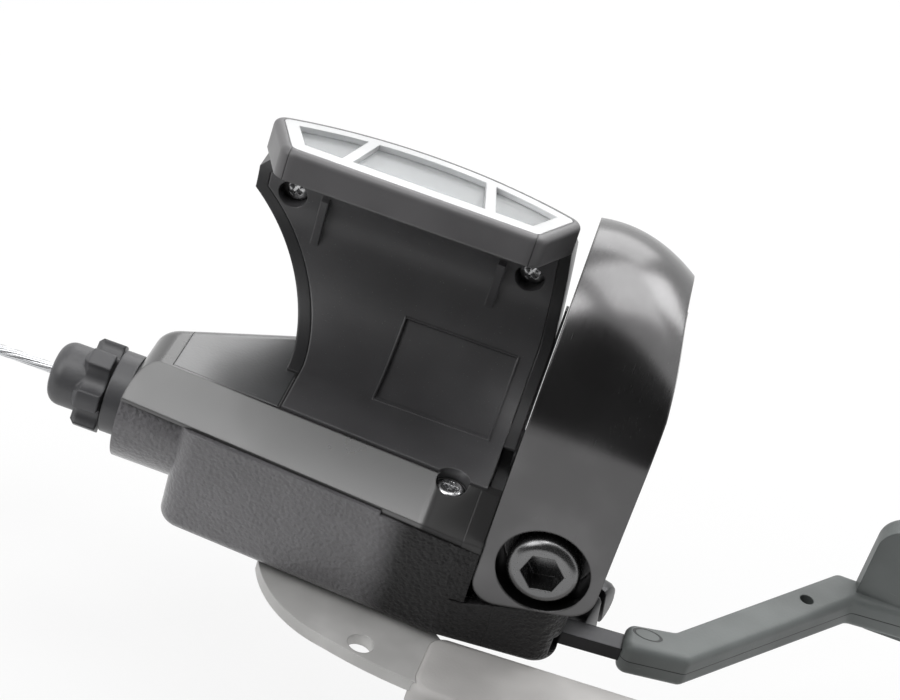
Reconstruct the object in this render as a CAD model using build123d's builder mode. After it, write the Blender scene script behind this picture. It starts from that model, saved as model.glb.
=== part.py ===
from build123d import *
import os
from math import atan2, cos, radians, sin, sqrt, tan

# Right-hand trigger gear shifter, in millimetres.
# The origin is on the handlebar's axis, in the middle of the clamp band.
# +X runs outboard along the bar, -Y faces the rider and +Z points up through the gear display.

# Handlebar and clamp band
bar_radius = 11.1
band_inboard = -6.2
band_outboard_top = 4.8
band_outboard = 6.5
band_shoulder_z = 2.0
band_bulge = (6.15, 8.0)
band_back_taper = 2.9
band_front = 14.5
crown_height = 16.0
crown_place = -3.6
crown_curve = 0.055
crown_least = 12.2
lug_bottom = -22.0
lug_rise = 3.0
lug_back = 9.0
lug_inner_corner = 2.5
lug_outer_corner = 3.4
slit_width = 1.8
slit_centre_y = -2.5

# Clamp bolt
bolt_x = 0.3
bolt_z = -15.2
bolt_radius = 2.5
bolt_head_radius = 3.9
bolt_head_height = 5.0
bolt_head_proud = 0.4
bolt_pocket_radius = 4.95
bolt_tip_y = 7.5
hex_key = 4.0
hex_depth = 2.6

# Common clearances
running_clearance = 0.05
seat_clearance = 0.05
moving_gap = 0.35

# Housing, split into an upper and a lower cover
housing_left = -40.2
housing_right = 4.6
housing_wall = 1.4
housing_top = -12.3
parting_z = -15.1
parting_step = 0.4
parting_step_x = -17.3
parting_step_y = -3.0
housing_floor = -27.8
ceiling_z = -14.7
front_left_y = -12.9
crease_x = -8.5
front_crease_y = -15.2
front_right_y = -13.6
right_rear_y = 4.0
left_rear_y = 2.5
cover_left = -46.8
cover_left_front_y = -11.6
cover_left_rear_y = 0.75
cover_step_in = 0.25
cover_end_round = 3.2
cover_rear_round = 2.2
cover_gap = 0.05
slope_top_left_y = -6.3
slope_top_right_y = -8.8
slope_lip = 0.4
front_corner = 2.6
outer_corner = 3.0
floor_round = 1.4
panel_left = -43.4
panel_depth = 1.2

# Main axle, base plate and the parts that turn on the axle
axle_x = -21.0
axle_y = 3.3
axle_radius = 3.0
axle_end = -34.0
plate_top = -14.8
plate_thickness = 1.2
plate_boss_radius = 8.0
flange_thickness = 1.5
flange_low_y = -1.0
tab_low_y = -7.4
tab_bottom = -15.9
tab_top = -13.7
flange_high_y = 7.0
flange_bottom = -21.3
flange_neck_x = -11.0
bracket_screw_y = 2.5
bracket_screw_z = -18.6
bracket_screw_radius = 1.9
bracket_head_radius = 2.4
bracket_head_height = 1.6
bracket_screw_depth = 3.4

# Cable line through the barrel adjuster and onto the drum
cable_y = -5.6
cable_z = -18.5
cable_radius = 0.6
drum_top = -16.3
drum_thickness = 3.8
drum_flange_radius = 9.8
drum_room = 1.4
groove_width = 2.2
nipple_radius = 1.5
nipple_length = 3.2
ratchet_thickness = 1.2
ratchet_tip_radius = 10.0
ratchet_tooth_depth = 1.1
ratchet_teeth = 19

# Lever hub, main lever and its cap
hub_radius = 5.2
hub_flange_radius = 8.5
hub_flange_thickness = 1.5
lever_plate_top = -28.2
lever_plate_thickness = 1.4
lever_heel = (-28.4, -12.0)
lever_heel_middle = (-24.9, -17.2)
lever_toe = (-18.4, -20.4)
lever_toe_middle = (-13.0, -21.6)
lever_throat = (-11.0, -10.5)
lever_tang_end = 6.0
lever_hole = (-14.8, -19.3)
lever_hole_radius = 1.4
lever_cap_back_y = -13.8
lever_cap_front_y = -23.6
lever_cap_left = -8.4
lever_cap_right = 24.0
lever_cap_thickness = 5.0
lever_cap_wall = 1.4
washer_thickness = 0.7
washer_radius = 6.0
nut_height = 3.0
nut_flats = 10.0

# Pawls
pawl_thickness = 1.1
pawl_pin_radius = 1.2
pawl_boss_radius = 2.3
hold_pawl_angle = 200.0
pawl_room = 0.3
feed_pawl_angle = 235.0
pawl_nose_swing = 17.0

# Release lever
release_x = -3.5
release_y = -7.5
release_pin_radius = 1.6
release_boss_radius = 3.2
release_arm_top = -24.4
release_arm_thickness = 1.6
release_arm_width = 2.6
release_arm_y = -9.6
sleeve_start_x = 11.0
sleeve_start_y = -8.9
sleeve_width = 4.3
sleeve_height = 4.0
sleeve_bend_x = 17.2
sleeve_bend_y = -7.5
sleeve_end_x = 33.9
sleeve_end_y = 12.9
tang_length = 8.0
sleeve_edge = 0.9
sleeve_hole_radius = 0.8
pad_length = 13.0
pad_thickness = 3.4
pad_height = 14.2
pad_corner = 3.0
pad_overhang = 1.4
pad_lift = 4.7

# Slotted plug over the cable hole
plug_y = -4.0
plug_z = -24.6
plug_radius = 3.0
plug_shank_radius = 2.0
plug_thickness = 1.8
plug_turn = 22.0
plug_proud = 0.5
plug_seat_depth = 3.0
plug_slot_width = 1.0
plug_slot_depth = 0.9

# Barrel adjuster
boss_radius = 6.5
boss_end = cover_left - 0.05
socket_radius = 4.2
socket_collar_radius = 4.55
socket_inner_end = -38.6
collar_end = -49.0
stem_radius = 3.0
stem_inner_end = -40.2
knob_start = -49.35
knob_length = 6.4
knob_radius = 4.9
knob_dome_radius = 3.5
knob_ring = 3.0
knob_scoop_radius = 1.55
knob_lobes = 6
knob_bore_radius = 1.2

# Saddle plate and rear cover round the bar
saddle_radius = 12.0
saddle_thickness = 1.3
saddle_front_angle = -90.0
shelf_edge = 0.35
saddle_top_angle = 40.0
rear_outer_radius = 17.0
rear_wall = 1.3
rear_top_angle = 75.0
rear_slope_drop = 0.5
rear_slope_angle = 33.5
saddle_left = -42.8
saddle_right = -6.5
saddle_lean = 2.4
saddle_lean_z = -5.0
saddle_shoulder_z = 4.0
saddle_shoulder_x = -39.8
saddle_waist_x = -32.4
recess_left = -22.7
recess_right = -9.6
recess_top_angle = -35.0
recess_bottom_angle = -87.0
recess_depth = 0.25
saddle_screw_z = 1.7
saddle_screw_inset_left = 4.2
saddle_screw_inset_right = 4.8
saddle_screw_radius = 0.85
saddle_head_radius = 1.5
saddle_head_height = 1.1
saddle_boss_radius = 2.5
rib_inset_left = 7.9
rib_inset_right = 8.05
rib_width = 0.9
rib_height = 0.75
rib_top_angle = 13.0
rib_bottom_angle = -16.0

# Cover screw in the front slope
cover_screw_x = -11.5
cover_screw_y = -8.9
cover_screw_radius = 0.95
cover_head_radius = 1.5
cover_head_height = 1.2
cover_post_radius = 2.2

# Gear display on top
dial_x = -24.2
dial_front = -7.4
dial_top = 17.2
dial_tilt = 10.0
dial_front_half = 13.5
dial_back_half = 16.8
dial_side_depth = 9.3
dial_mid_depth = 14.2
dial_height = 3.2
dial_corner = 1.8
dial_edge = 0.7
dial_wall = 0.95
dial_ledge = 0.9
dial_floor = 0.5
frame_thickness = 0.6
frame_border = 1.5
frame_front_border = 2.0
frame_bar_width = 1.1
frame_bar_place = 6.9
frame_bar_slant = 8.0
lens_thickness = 0.5
dial_plate_thickness = 0.4
pointer_width = 1.2
pointer_thickness = 0.3
pointer_offset = 5.0

# Inner cable beyond the adjuster
cable_exit_x = knob_start - knob_length
cable_free_end = -76.0
coil_mid_radius = 10.4
coil_layers = 6
coil_rows = 5
tie_width = 4.0
tie_thickness = 0.8

cover_right = band_inboard - flange_thickness - cover_gap
pawl_reach = ratchet_tip_radius + moving_gap + pawl_boss_radius + pawl_room
saddle_screw_left = saddle_left + saddle_screw_inset_left
saddle_screw_right = saddle_right - saddle_screw_inset_right
rear_radius = drum_flange_radius + drum_room + housing_wall
plate_bottom = plate_top - plate_thickness
drum_bottom = drum_top - drum_thickness
ratchet_bottom = drum_bottom - ratchet_thickness
hub_flange_top = ratchet_bottom - moving_gap
hub_flange_bottom = hub_flange_top - hub_flange_thickness
lever_plate_bottom = lever_plate_top - lever_plate_thickness
washer_top = lever_plate_bottom - moving_gap
nut_top = washer_top - washer_thickness
lug_front_y = -band_front
inner_floor = housing_floor + housing_wall
notch_z = lug_bottom - 0.2
lever_bore = axle_radius + running_clearance
groove_radius = axle_y - cable_y
dial_plane = Plane(
    origin=(dial_x, dial_front, dial_top),
    x_dir=(1, 0, 0),
    z_dir=(0, sin(radians(dial_tilt)), cos(radians(dial_tilt))),
)


def polar(radius, angle):
    """Return the point at a radius and an angle in degrees about the origin."""
    return (radius * cos(radians(angle)), radius * sin(radians(angle)))


def about_axle(radius, angle):
    """Return the plan point at a radius and an angle about the main axle."""
    x, y = polar(radius, angle)
    return (axle_x + x, axle_y + y)


def housing_plan(inset):
    """Return the lower cover's plan outline, moved inwards by an inset."""
    rear_right = about_axle(rear_radius, 50)
    rear_top = about_axle(rear_radius, 90)
    rear_left = about_axle(rear_radius, 150)
    with BuildSketch() as plan:
        with BuildLine():
            Polyline(
                rear_left,
                (housing_left, left_rear_y),
                (housing_left, front_left_y),
                (crease_x, front_crease_y),
                (housing_right, front_right_y),
                (housing_right, right_rear_y),
                rear_right,
            )
            ThreePointArc(rear_right, rear_top, rear_left)
        make_face()
        offset(amount=-inset, kind=Kind.INTERSECTION)
    return plan.sketch


def cover_plan(inset):
    """Return the upper cover's plan outline, moved inwards by an inset."""
    rear_right = about_axle(rear_radius, 50)
    rear_top = about_axle(rear_radius, 90)
    rear_left = about_axle(rear_radius, 150)
    with BuildSketch() as plan:
        with BuildLine():
            Polyline(
                rear_left,
                (cover_left, cover_left_rear_y),
                (cover_left, cover_left_front_y),
                (crease_x, front_crease_y + cover_step_in),
                (cover_right, front_crease_y + cover_step_in),
                (cover_right, right_rear_y),
                rear_right,
            )
            ThreePointArc(rear_right, rear_top, rear_left)
        make_face()
        offset(amount=-inset, kind=Kind.INTERSECTION)
    return plan.sketch


def slope_top_y(x):
    """Return where the sloped front strip starts on the top face, at a place along the cover."""
    share = (x - cover_left) / (cover_right - cover_left)
    return slope_top_left_y + (slope_top_right_y - slope_top_left_y) * share


def saddle_outline(inset):
    """Return the outline of the saddle and rear cover, seen from the rider's side."""
    low = housing_top - 3
    high = rear_outer_radius
    shoulder = 1.0
    with BuildSketch(Plane.XZ) as outline:
        with BuildLine():
            Polyline(
                (saddle_waist_x, housing_top),
                (saddle_waist_x, low),
                (saddle_right, low),
                (saddle_right, saddle_lean_z),
                (saddle_right - saddle_lean, high),
                (saddle_shoulder_x, high),
                (saddle_shoulder_x, 2 * saddle_shoulder_z),
                (saddle_left, saddle_shoulder_z),
                (saddle_left, shoulder),
            )
            ThreePointArc((saddle_left, shoulder), (-37.0, -5.2), (saddle_waist_x, housing_top))
        make_face()
        offset(amount=-inset, kind=Kind.INTERSECTION)
    return outline.sketch


def ring_sector(inner, outer, start_angle, end_angle, left, right):
    """Return a sector of a ring round the handlebar, between two angles from +Y."""
    with BuildPart(mode=Mode.PRIVATE) as ring:
        with BuildSketch(Plane.XY) as section:
            with Locations((0.5 * (left + right), 0.5 * (inner + outer))):
                Rectangle(right - left, outer - inner)
        revolve(axis=Axis.X, revolution_arc=end_angle - start_angle)
    return ring.part.rotate(Axis.X, start_angle)


def below_slope(inset):
    """Return the section between the upper cover and the rear cover's sloped back, less an inset."""
    start_y = dial_front + dial_side_depth * cos(radians(dial_tilt))
    start_z = dial_top - dial_side_depth * sin(radians(dial_tilt)) - rear_slope_drop
    reach = 2 * rear_outer_radius
    drop = reach * tan(radians(rear_slope_angle))
    with BuildSketch() as section:
        with BuildLine():
            Polyline(
                (start_y - reach, start_z + drop),
                (start_y - reach, housing_top),
                (start_y + reach, housing_top),
                (start_y + reach, start_z - drop),
                close=True,
            )
        make_face()
        offset(amount=-inset, kind=Kind.INTERSECTION)
    return section.sketch


def saddle_ring(inner, outer, inset):
    """Return the saddle's whole ring between two radii, cut to its outline less an inset."""
    with BuildPart(mode=Mode.PRIVATE) as ring:
        add(ring_sector(inner, outer, saddle_front_angle, saddle_top_angle, saddle_left - 1, saddle_right + 1))
        with BuildSketch(Plane.XZ):
            add(saddle_outline(inset))
        extrude(amount=60, both=True, mode=Mode.INTERSECT)
    return ring.part


# Clamp band: one aluminium loop with a front lug for the bolt
band_reach = band_outboard - band_inboard
with BuildPart() as clamp_band:
    for step in range(7):
        station = band_inboard + band_reach * step / 6
        crown = max(crown_least, crown_height - crown_curve * (station - crown_place) ** 2)
        with BuildSketch(Plane.YZ.offset(station)):
            with BuildLine():
                Line((-band_front, lug_bottom), (-band_front, 0))
                EllipticalCenterArc((0, 0), band_front, crown, start_angle=180, arc_size=-90)
                CenterArc((0, 0), crown, start_angle=90, arc_size=-90)
                Polyline((crown, 0), (lug_back, lug_bottom), (-band_front, lug_bottom))
            make_face()
    loft()
    with BuildSketch(Plane.XZ) as band_side:
        with BuildLine():
            Polyline(
                (band_outboard, band_shoulder_z),
                (band_outboard, lug_bottom + lug_rise),
                (band_inboard, lug_bottom),
                (band_inboard, crown_height + 1),
                (band_outboard_top, crown_height + 1),
                (band_outboard_top, crown_least),
            )
            ThreePointArc((band_outboard_top, crown_least), band_bulge, (band_outboard, band_shoulder_z))
        make_face()
        fillet(band_side.vertices().sort_by(Axis.Y)[0], lug_inner_corner)
        low_corners = band_side.vertices().filter_by(lambda corner: corner.Y < bolt_z)
        fillet(low_corners.sort_by(Axis.X)[-1], lug_outer_corner)
    extrude(amount=2 * band_front, both=True, mode=Mode.INTERSECT)
    with BuildSketch(Plane.XY):
        with BuildLine():
            Polyline(
                (band_outboard, 0),
                (band_outboard - band_back_taper, crown_height),
                (2 * band_outboard, crown_height),
                (2 * band_outboard, 0),
                close=True,
            )
        make_face()
    extrude(amount=2 * crown_height, both=True, mode=Mode.SUBTRACT)
    with BuildSketch(Plane.YZ):
        Circle(bar_radius)
    extrude(amount=2 * band_reach, both=True, mode=Mode.SUBTRACT)
    with BuildSketch(Plane.YZ):
        with Locations((slit_centre_y, lug_bottom)):
            Rectangle(slit_width, -2 * (lug_bottom + 0.8 * bar_radius))
    extrude(amount=2 * band_reach, both=True, mode=Mode.SUBTRACT)
    with BuildSketch(Plane.XZ.offset(band_front)):
        with Locations((bolt_x, bolt_z)):
            Circle(bolt_pocket_radius)
    extrude(amount=-(bolt_head_height - bolt_head_proud), mode=Mode.SUBTRACT)
    with BuildSketch(Plane.XZ):
        with Locations((bolt_x, bolt_z)):
            Circle(bolt_radius + seat_clearance)
    extrude(amount=2 * band_front, both=True, mode=Mode.SUBTRACT)
    with BuildSketch(Plane.YZ.offset(band_inboard)):
        with Locations((bracket_screw_y, bracket_screw_z)):
            Circle(bracket_screw_radius + seat_clearance)
    extrude(amount=bracket_screw_depth, mode=Mode.SUBTRACT)
clamp_band.part.label = "clamp_band"

# Clamp bolt: socket-head screw through the front lug into the rear one
with BuildPart() as clamp_bolt:
    with BuildSketch(Plane.XZ.offset(band_front + bolt_head_proud)):
        with Locations((bolt_x, bolt_z)):
            Circle(bolt_head_radius)
    extrude(amount=-bolt_head_height)
    fillet(clamp_bolt.faces().sort_by(Axis.Y)[0].edges(), 1.1)
    with BuildSketch(Plane.XZ.offset(band_front + bolt_head_proud)):
        with Locations((bolt_x, bolt_z)):
            RegularPolygon(hex_key / 2, 6, major_radius=False, rotation=12)
    extrude(amount=-hex_depth, mode=Mode.SUBTRACT)
    with BuildSketch(Plane.XZ.offset(band_front + bolt_head_proud - bolt_head_height)):
        with Locations((bolt_x, bolt_z)):
            Circle(bolt_radius)
    extrude(amount=-(bolt_tip_y + band_front + bolt_head_proud - bolt_head_height))
clamp_bolt.part.label = "clamp_bolt"

# Base plate: steel plate that carries the axle, with a flange screwed to the clamp
with BuildPart() as base_plate:
    with BuildSketch(Plane.XY.offset(plate_bottom)):
        with Locations((axle_x, axle_y)):
            Circle(plate_boss_radius)
        with BuildLine():
            Polyline(
                (axle_x, axle_y - plate_boss_radius),
                (flange_neck_x, flange_low_y),
                (band_inboard, flange_low_y),
                (band_inboard, flange_high_y),
                (flange_neck_x, flange_high_y),
                (axle_x, axle_y + plate_boss_radius),
                about_axle(pawl_reach + pawl_boss_radius, hold_pawl_angle - 8),
                about_axle(pawl_reach + pawl_boss_radius, hold_pawl_angle + 8),
                close=True,
            )
        make_face()
    extrude(amount=plate_thickness)
    with BuildSketch(Plane.YZ.offset(band_inboard)):
        with Locations((0.5 * (flange_low_y + flange_high_y), 0.5 * (plate_top + flange_bottom))):
            Rectangle(flange_high_y - flange_low_y, plate_top - flange_bottom)
    extrude(amount=-flange_thickness)
    fillet(base_plate.edges().filter_by(Axis.X).group_by(Axis.Z)[0], 1.5)
    with BuildSketch(Plane.YZ.offset(band_inboard)):
        with Locations((0.5 * (tab_low_y + flange_high_y), 0.5 * (tab_top + tab_bottom))):
            Rectangle(flange_high_y - tab_low_y, tab_top - tab_bottom)
    extrude(amount=-flange_thickness)
    with BuildSketch(Plane.XY.offset(plate_bottom)):
        with Locations((axle_x, axle_y)):
            Circle(axle_radius + seat_clearance)
        with Locations(about_axle(pawl_reach, hold_pawl_angle)):
            Circle(pawl_pin_radius + seat_clearance)
    extrude(amount=plate_thickness, mode=Mode.SUBTRACT)
    with BuildSketch(Plane.YZ.offset(band_inboard)):
        with Locations((bracket_screw_y, bracket_screw_z)):
            Circle(bracket_screw_radius + seat_clearance)
    extrude(amount=-flange_thickness, mode=Mode.SUBTRACT)
base_plate.part.label = "base_plate"

# Bracket screw: holds the base plate's flange to the clamp band
with BuildPart() as bracket_screw:
    with BuildSketch(Plane.YZ.offset(band_inboard - flange_thickness)):
        with Locations((bracket_screw_y, bracket_screw_z)):
            Circle(bracket_head_radius)
    extrude(amount=-bracket_head_height)
    chamfer(bracket_screw.faces().sort_by(Axis.X)[0].edges(), 0.4)
    with BuildSketch(Plane.YZ.offset(band_inboard - flange_thickness)):
        with Locations((bracket_screw_y, bracket_screw_z)):
            Circle(bracket_screw_radius)
    extrude(amount=flange_thickness + bracket_screw_depth - 0.2)
bracket_screw.part.label = "bracket_screw"

# Main axle: riveted into the base plate, threaded below for the nut
with BuildPart() as main_axle:
    with BuildSketch(Plane.XY.offset(axle_end)):
        with Locations((axle_x, axle_y)):
            Circle(axle_radius)
    extrude(amount=plate_top - axle_end)
    chamfer(main_axle.edges().group_by(Axis.Z)[0], 0.4)
main_axle.part.label = "main_axle"

with BuildPart() as axle_washer:
    with BuildSketch(Plane.XY.offset(washer_top - washer_thickness)):
        with Locations((axle_x, axle_y)):
            Circle(washer_radius)
            Circle(axle_radius + seat_clearance, mode=Mode.SUBTRACT)
    extrude(amount=washer_thickness)
axle_washer.part.label = "axle_washer"

with BuildPart() as axle_nut:
    with BuildSketch(Plane.XY.offset(nut_top - nut_height)):
        with Locations((axle_x, axle_y)):
            RegularPolygon(nut_flats / 2, 6, major_radius=False)
            Circle(axle_radius + seat_clearance, mode=Mode.SUBTRACT)
    extrude(amount=nut_height)
axle_nut.part.label = "axle_nut"

# Cable drum with its groove, and the ratchet ring fixed under it
with BuildPart() as cable_drum:
    with BuildSketch(Plane.XY.offset(drum_bottom)):
        with Locations((axle_x, axle_y)):
            Circle(drum_flange_radius)
            Circle(lever_bore, mode=Mode.SUBTRACT)
    extrude(amount=drum_thickness)
    with BuildSketch(Plane.XY.offset(cable_z - groove_width / 2)):
        with Locations((axle_x, axle_y)):
            Circle(drum_flange_radius + 1)
            Circle(groove_radius - cable_radius - moving_gap, mode=Mode.SUBTRACT)
    extrude(amount=groove_width, mode=Mode.SUBTRACT)
    with Locations((axle_x + nipple_length / 2, cable_y - 1, cable_z)):
        Box(nipple_length + 0.2, 2 * nipple_radius + 2.2, drum_thickness + 1, mode=Mode.SUBTRACT)
cable_drum.part.label = "cable_drum"

with BuildPart() as cable_nipple:
    with BuildSketch(Plane.YZ.offset(axle_x)):
        with Locations((cable_y, cable_z)):
            Circle(nipple_radius)
    extrude(amount=nipple_length)
cable_nipple.part.label = "cable_nipple"

with BuildPart() as ratchet_ring:
    with BuildSketch(Plane.XY.offset(ratchet_bottom)):
        with Locations((axle_x, axle_y)):
            Circle(ratchet_tip_radius)
            Circle(lever_bore, mode=Mode.SUBTRACT)
        root_radius = ratchet_tip_radius - ratchet_tooth_depth
        pitch = 360 / ratchet_teeth
        for tooth in range(ratchet_teeth):
            start = tooth * pitch
            with BuildLine():
                Polyline(
                    about_axle(ratchet_tip_radius + 0.5, start),
                    about_axle(root_radius, start),
                    about_axle(ratchet_tip_radius + 0.1, start + 0.8 * pitch),
                    close=True,
                )
            make_face(mode=Mode.SUBTRACT)
    extrude(amount=ratchet_thickness)
ratchet_ring.part.label = "ratchet_ring"


def pawl_shape(reach, angle, swing):
    """Return a pawl's plan: a boss on its pin and a nose that stops short of the teeth."""
    nose_radius = ratchet_tip_radius + moving_gap
    with BuildSketch() as plan:
        with Locations(about_axle(reach, angle)):
            Circle(pawl_boss_radius)
        with BuildLine():
            Polyline(
                about_axle(reach + 0.8 * pawl_boss_radius, angle + 0.35 * swing),
                about_axle(nose_radius + 0.3, angle + swing),
                about_axle(nose_radius, angle + 0.85 * swing),
                about_axle(reach - 0.6 * pawl_boss_radius, angle + 0.2 * swing),
                close=True,
            )
        make_face()
        with Locations(about_axle(reach, angle)):
            Circle(pawl_pin_radius + running_clearance, mode=Mode.SUBTRACT)
    return plan.sketch


pawl_bottom = ratchet_bottom + 0.05
with BuildPart() as holding_pawl:
    with BuildSketch(Plane.XY.offset(pawl_bottom)):
        add(pawl_shape(pawl_reach, hold_pawl_angle, pawl_nose_swing))
    extrude(amount=pawl_thickness)
holding_pawl.part.label = "holding_pawl"

with BuildPart() as holding_pin:
    with BuildSketch(Plane.XY.offset(pawl_bottom)):
        with Locations(about_axle(pawl_reach, hold_pawl_angle)):
            Circle(pawl_pin_radius)
    extrude(amount=plate_top - pawl_bottom)
    with BuildSketch(Plane.XY.offset(pawl_bottom + pawl_thickness + moving_gap)):
        with Locations(about_axle(pawl_reach, hold_pawl_angle)):
            Circle(pawl_boss_radius)
    extrude(amount=plate_bottom - pawl_bottom - pawl_thickness - moving_gap)
holding_pin.part.label = "holding_pin"

with BuildPart() as feed_pawl:
    with BuildSketch(Plane.XY.offset(pawl_bottom)):
        add(pawl_shape(pawl_reach, feed_pawl_angle, pawl_nose_swing))
    extrude(amount=pawl_thickness)
feed_pawl.part.label = "feed_pawl"

# Lever hub: a sleeve on the axle with a flange and an arm that carries the feed pawl
feed_point = about_axle(pawl_reach, feed_pawl_angle)
with BuildPart() as lever_hub:
    with BuildSketch(Plane.XY.offset(hub_flange_bottom)):
        with Locations((axle_x, axle_y)):
            Circle(hub_flange_radius)
        with Locations(feed_point):
            Circle(pawl_boss_radius)
        with BuildLine():
            Polyline(
                about_axle(hub_flange_radius, feed_pawl_angle - 18),
                about_axle(pawl_reach, feed_pawl_angle - 11),
                about_axle(pawl_reach, feed_pawl_angle + 11),
                about_axle(hub_flange_radius, feed_pawl_angle + 18),
                close=True,
            )
        make_face()
    extrude(amount=hub_flange_thickness)
    with BuildSketch(Plane.XY.offset(lever_plate_top)):
        with Locations((axle_x, axle_y)):
            Circle(hub_radius)
    extrude(amount=hub_flange_bottom - lever_plate_top)
    with BuildSketch(Plane.XY.offset(hub_flange_top)):
        with Locations(feed_point):
            Circle(pawl_pin_radius)
    extrude(amount=pawl_bottom + pawl_thickness - hub_flange_top)
    with BuildSketch(Plane.XY.offset(lever_plate_top)):
        with Locations((axle_x, axle_y)):
            Circle(lever_bore)
    extrude(amount=hub_flange_top - lever_plate_top, mode=Mode.SUBTRACT)
lever_hub.part.label = "lever_hub"

# Lever spring: flat-wound torsion spring round the hub
spring_wire = 0.45
spring_radius = hub_radius + 1.3
spring_turns = 2.0
spring_pitch = 0.98
with BuildPart() as lever_spring:
    with BuildLine(Plane((axle_x, axle_y, inner_floor + spring_wire + 0.02))) as coil_line:
        Helix(pitch=spring_pitch, height=spring_pitch * spring_turns, radius=spring_radius)
    with BuildSketch(Plane(origin=coil_line.line @ 0, z_dir=coil_line.line % 0)):
        Circle(spring_wire)
    sweep()
lever_spring.part.label = "lever_spring"

# Main lever: steel plate under the housing
with BuildPart() as main_lever_plate:
    with BuildSketch(Plane.XY.offset(lever_plate_bottom)):
        with BuildLine():
            Line(about_axle(hub_flange_radius, 180), lever_heel)
            ThreePointArc(lever_heel, lever_heel_middle, lever_toe)
            ThreePointArc(lever_toe, lever_toe_middle, (lever_cap_left + 2, lever_cap_front_y + lever_cap_wall))
            FilletPolyline(
                (lever_cap_left + 2, lever_cap_front_y + lever_cap_wall),
                (lever_tang_end, lever_cap_front_y + lever_cap_wall + 0.6),
                (lever_tang_end, lever_cap_back_y - lever_cap_wall),
                (lever_cap_left + 1.5, lever_cap_back_y - lever_cap_wall + 0.6),
                lever_throat,
                about_axle(hub_flange_radius, 0),
                radius=1.5,
            )
            ThreePointArc(
                about_axle(hub_flange_radius, 0),
                about_axle(hub_flange_radius, 90),
                about_axle(hub_flange_radius, 180),
            )
        make_face()
        with Locations((axle_x, axle_y)):
            Circle(lever_bore, mode=Mode.SUBTRACT)
        with Locations(lever_hole):
            Circle(lever_hole_radius, mode=Mode.SUBTRACT)
    extrude(amount=lever_plate_thickness)
main_lever_plate.part.label = "main_lever_plate"

# Main lever cap: moulded thumb piece over the end of the plate
with BuildPart() as main_lever_cap:
    cap_bottom = lever_plate_top + 0.2 - lever_cap_thickness
    with BuildSketch(Plane.XY.offset(cap_bottom)):
        with BuildLine():
            FilletPolyline(
                (lever_cap_left, lever_cap_back_y),
                (lever_cap_left - 0.4, lever_cap_front_y + 0.2),
                (0.5 * (lever_cap_left + lever_cap_right), lever_cap_front_y),
                (lever_cap_right, lever_cap_front_y + 0.5),
                (lever_cap_right + 1.0, lever_cap_back_y + 3.0),
                (0.6 * lever_cap_right, lever_cap_back_y + 1.6),
                close=True,
                radius=2.4,
            )
        make_face()
    extrude(amount=lever_cap_thickness)
    fillet(main_lever_cap.faces().sort_by(Axis.Z)[-1].edges(), 0.9)
    fillet(main_lever_cap.faces().sort_by(Axis.Z)[0].edges(), 1.6)
    add(main_lever_plate.part, mode=Mode.SUBTRACT)
main_lever_cap.part.label = "main_lever_cap"

# Release lever: steel arm on its own pin, with a moulded sleeve and finger pad
half_arm = release_arm_width / 2
arm_bottom = release_arm_top - release_arm_thickness
run_turn = atan2(sleeve_end_y - sleeve_bend_y, sleeve_end_x - sleeve_bend_x)
run_along = (cos(run_turn), sin(run_turn))
run_across = (-sin(run_turn), cos(run_turn))
tang_x = sleeve_bend_x + tang_length * run_along[0]
tang_y = sleeve_bend_y + tang_length * run_along[1]
with BuildPart() as release_arm:
    with BuildSketch(Plane.XY.offset(arm_bottom)):
        with Locations((release_x, release_y)):
            Circle(release_boss_radius)
        with BuildLine():
            FilletPolyline(
                (release_x, release_y + half_arm),
                (housing_right, release_arm_y + half_arm),
                (sleeve_start_x, sleeve_start_y + half_arm),
                (sleeve_bend_x, sleeve_bend_y + half_arm),
                (tang_x + half_arm * run_across[0], tang_y + half_arm * run_across[1]),
                (tang_x - half_arm * run_across[0], tang_y - half_arm * run_across[1]),
                (sleeve_bend_x + half_arm, sleeve_bend_y - half_arm),
                (sleeve_start_x, sleeve_start_y - half_arm),
                (housing_right, release_arm_y - half_arm),
                (release_x, release_y - half_arm),
                radius=0.5,
                close=True,
            )
        make_face()
        with Locations((release_x - release_boss_radius, release_y + 0.75 * release_boss_radius)):
            Rectangle(2 * release_boss_radius, 0.75 * release_boss_radius, rotation=-35)
        with Locations((release_x, release_y)):
            Circle(release_pin_radius + running_clearance, mode=Mode.SUBTRACT)
    extrude(amount=release_arm_thickness)
release_arm.part.label = "release_arm"

sleeve_mid_z = release_arm_top - release_arm_thickness / 2
half_sleeve = sleeve_width / 2
pad_x = sleeve_end_x + pad_length / 2
pad_y = sleeve_end_y + pad_thickness / 2
with BuildPart() as finger_pad:
    with BuildSketch(Plane.XZ.offset(-(pad_y - pad_thickness / 2))):
        with Locations((pad_x + pad_overhang / 2, sleeve_mid_z + pad_lift)):
            RectangleRounded(pad_length - pad_overhang, pad_height, pad_corner)
    extrude(amount=-pad_thickness)
    fillet(finger_pad.faces().sort_by(Axis.Y)[-1].edges(), sleeve_edge)

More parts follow.
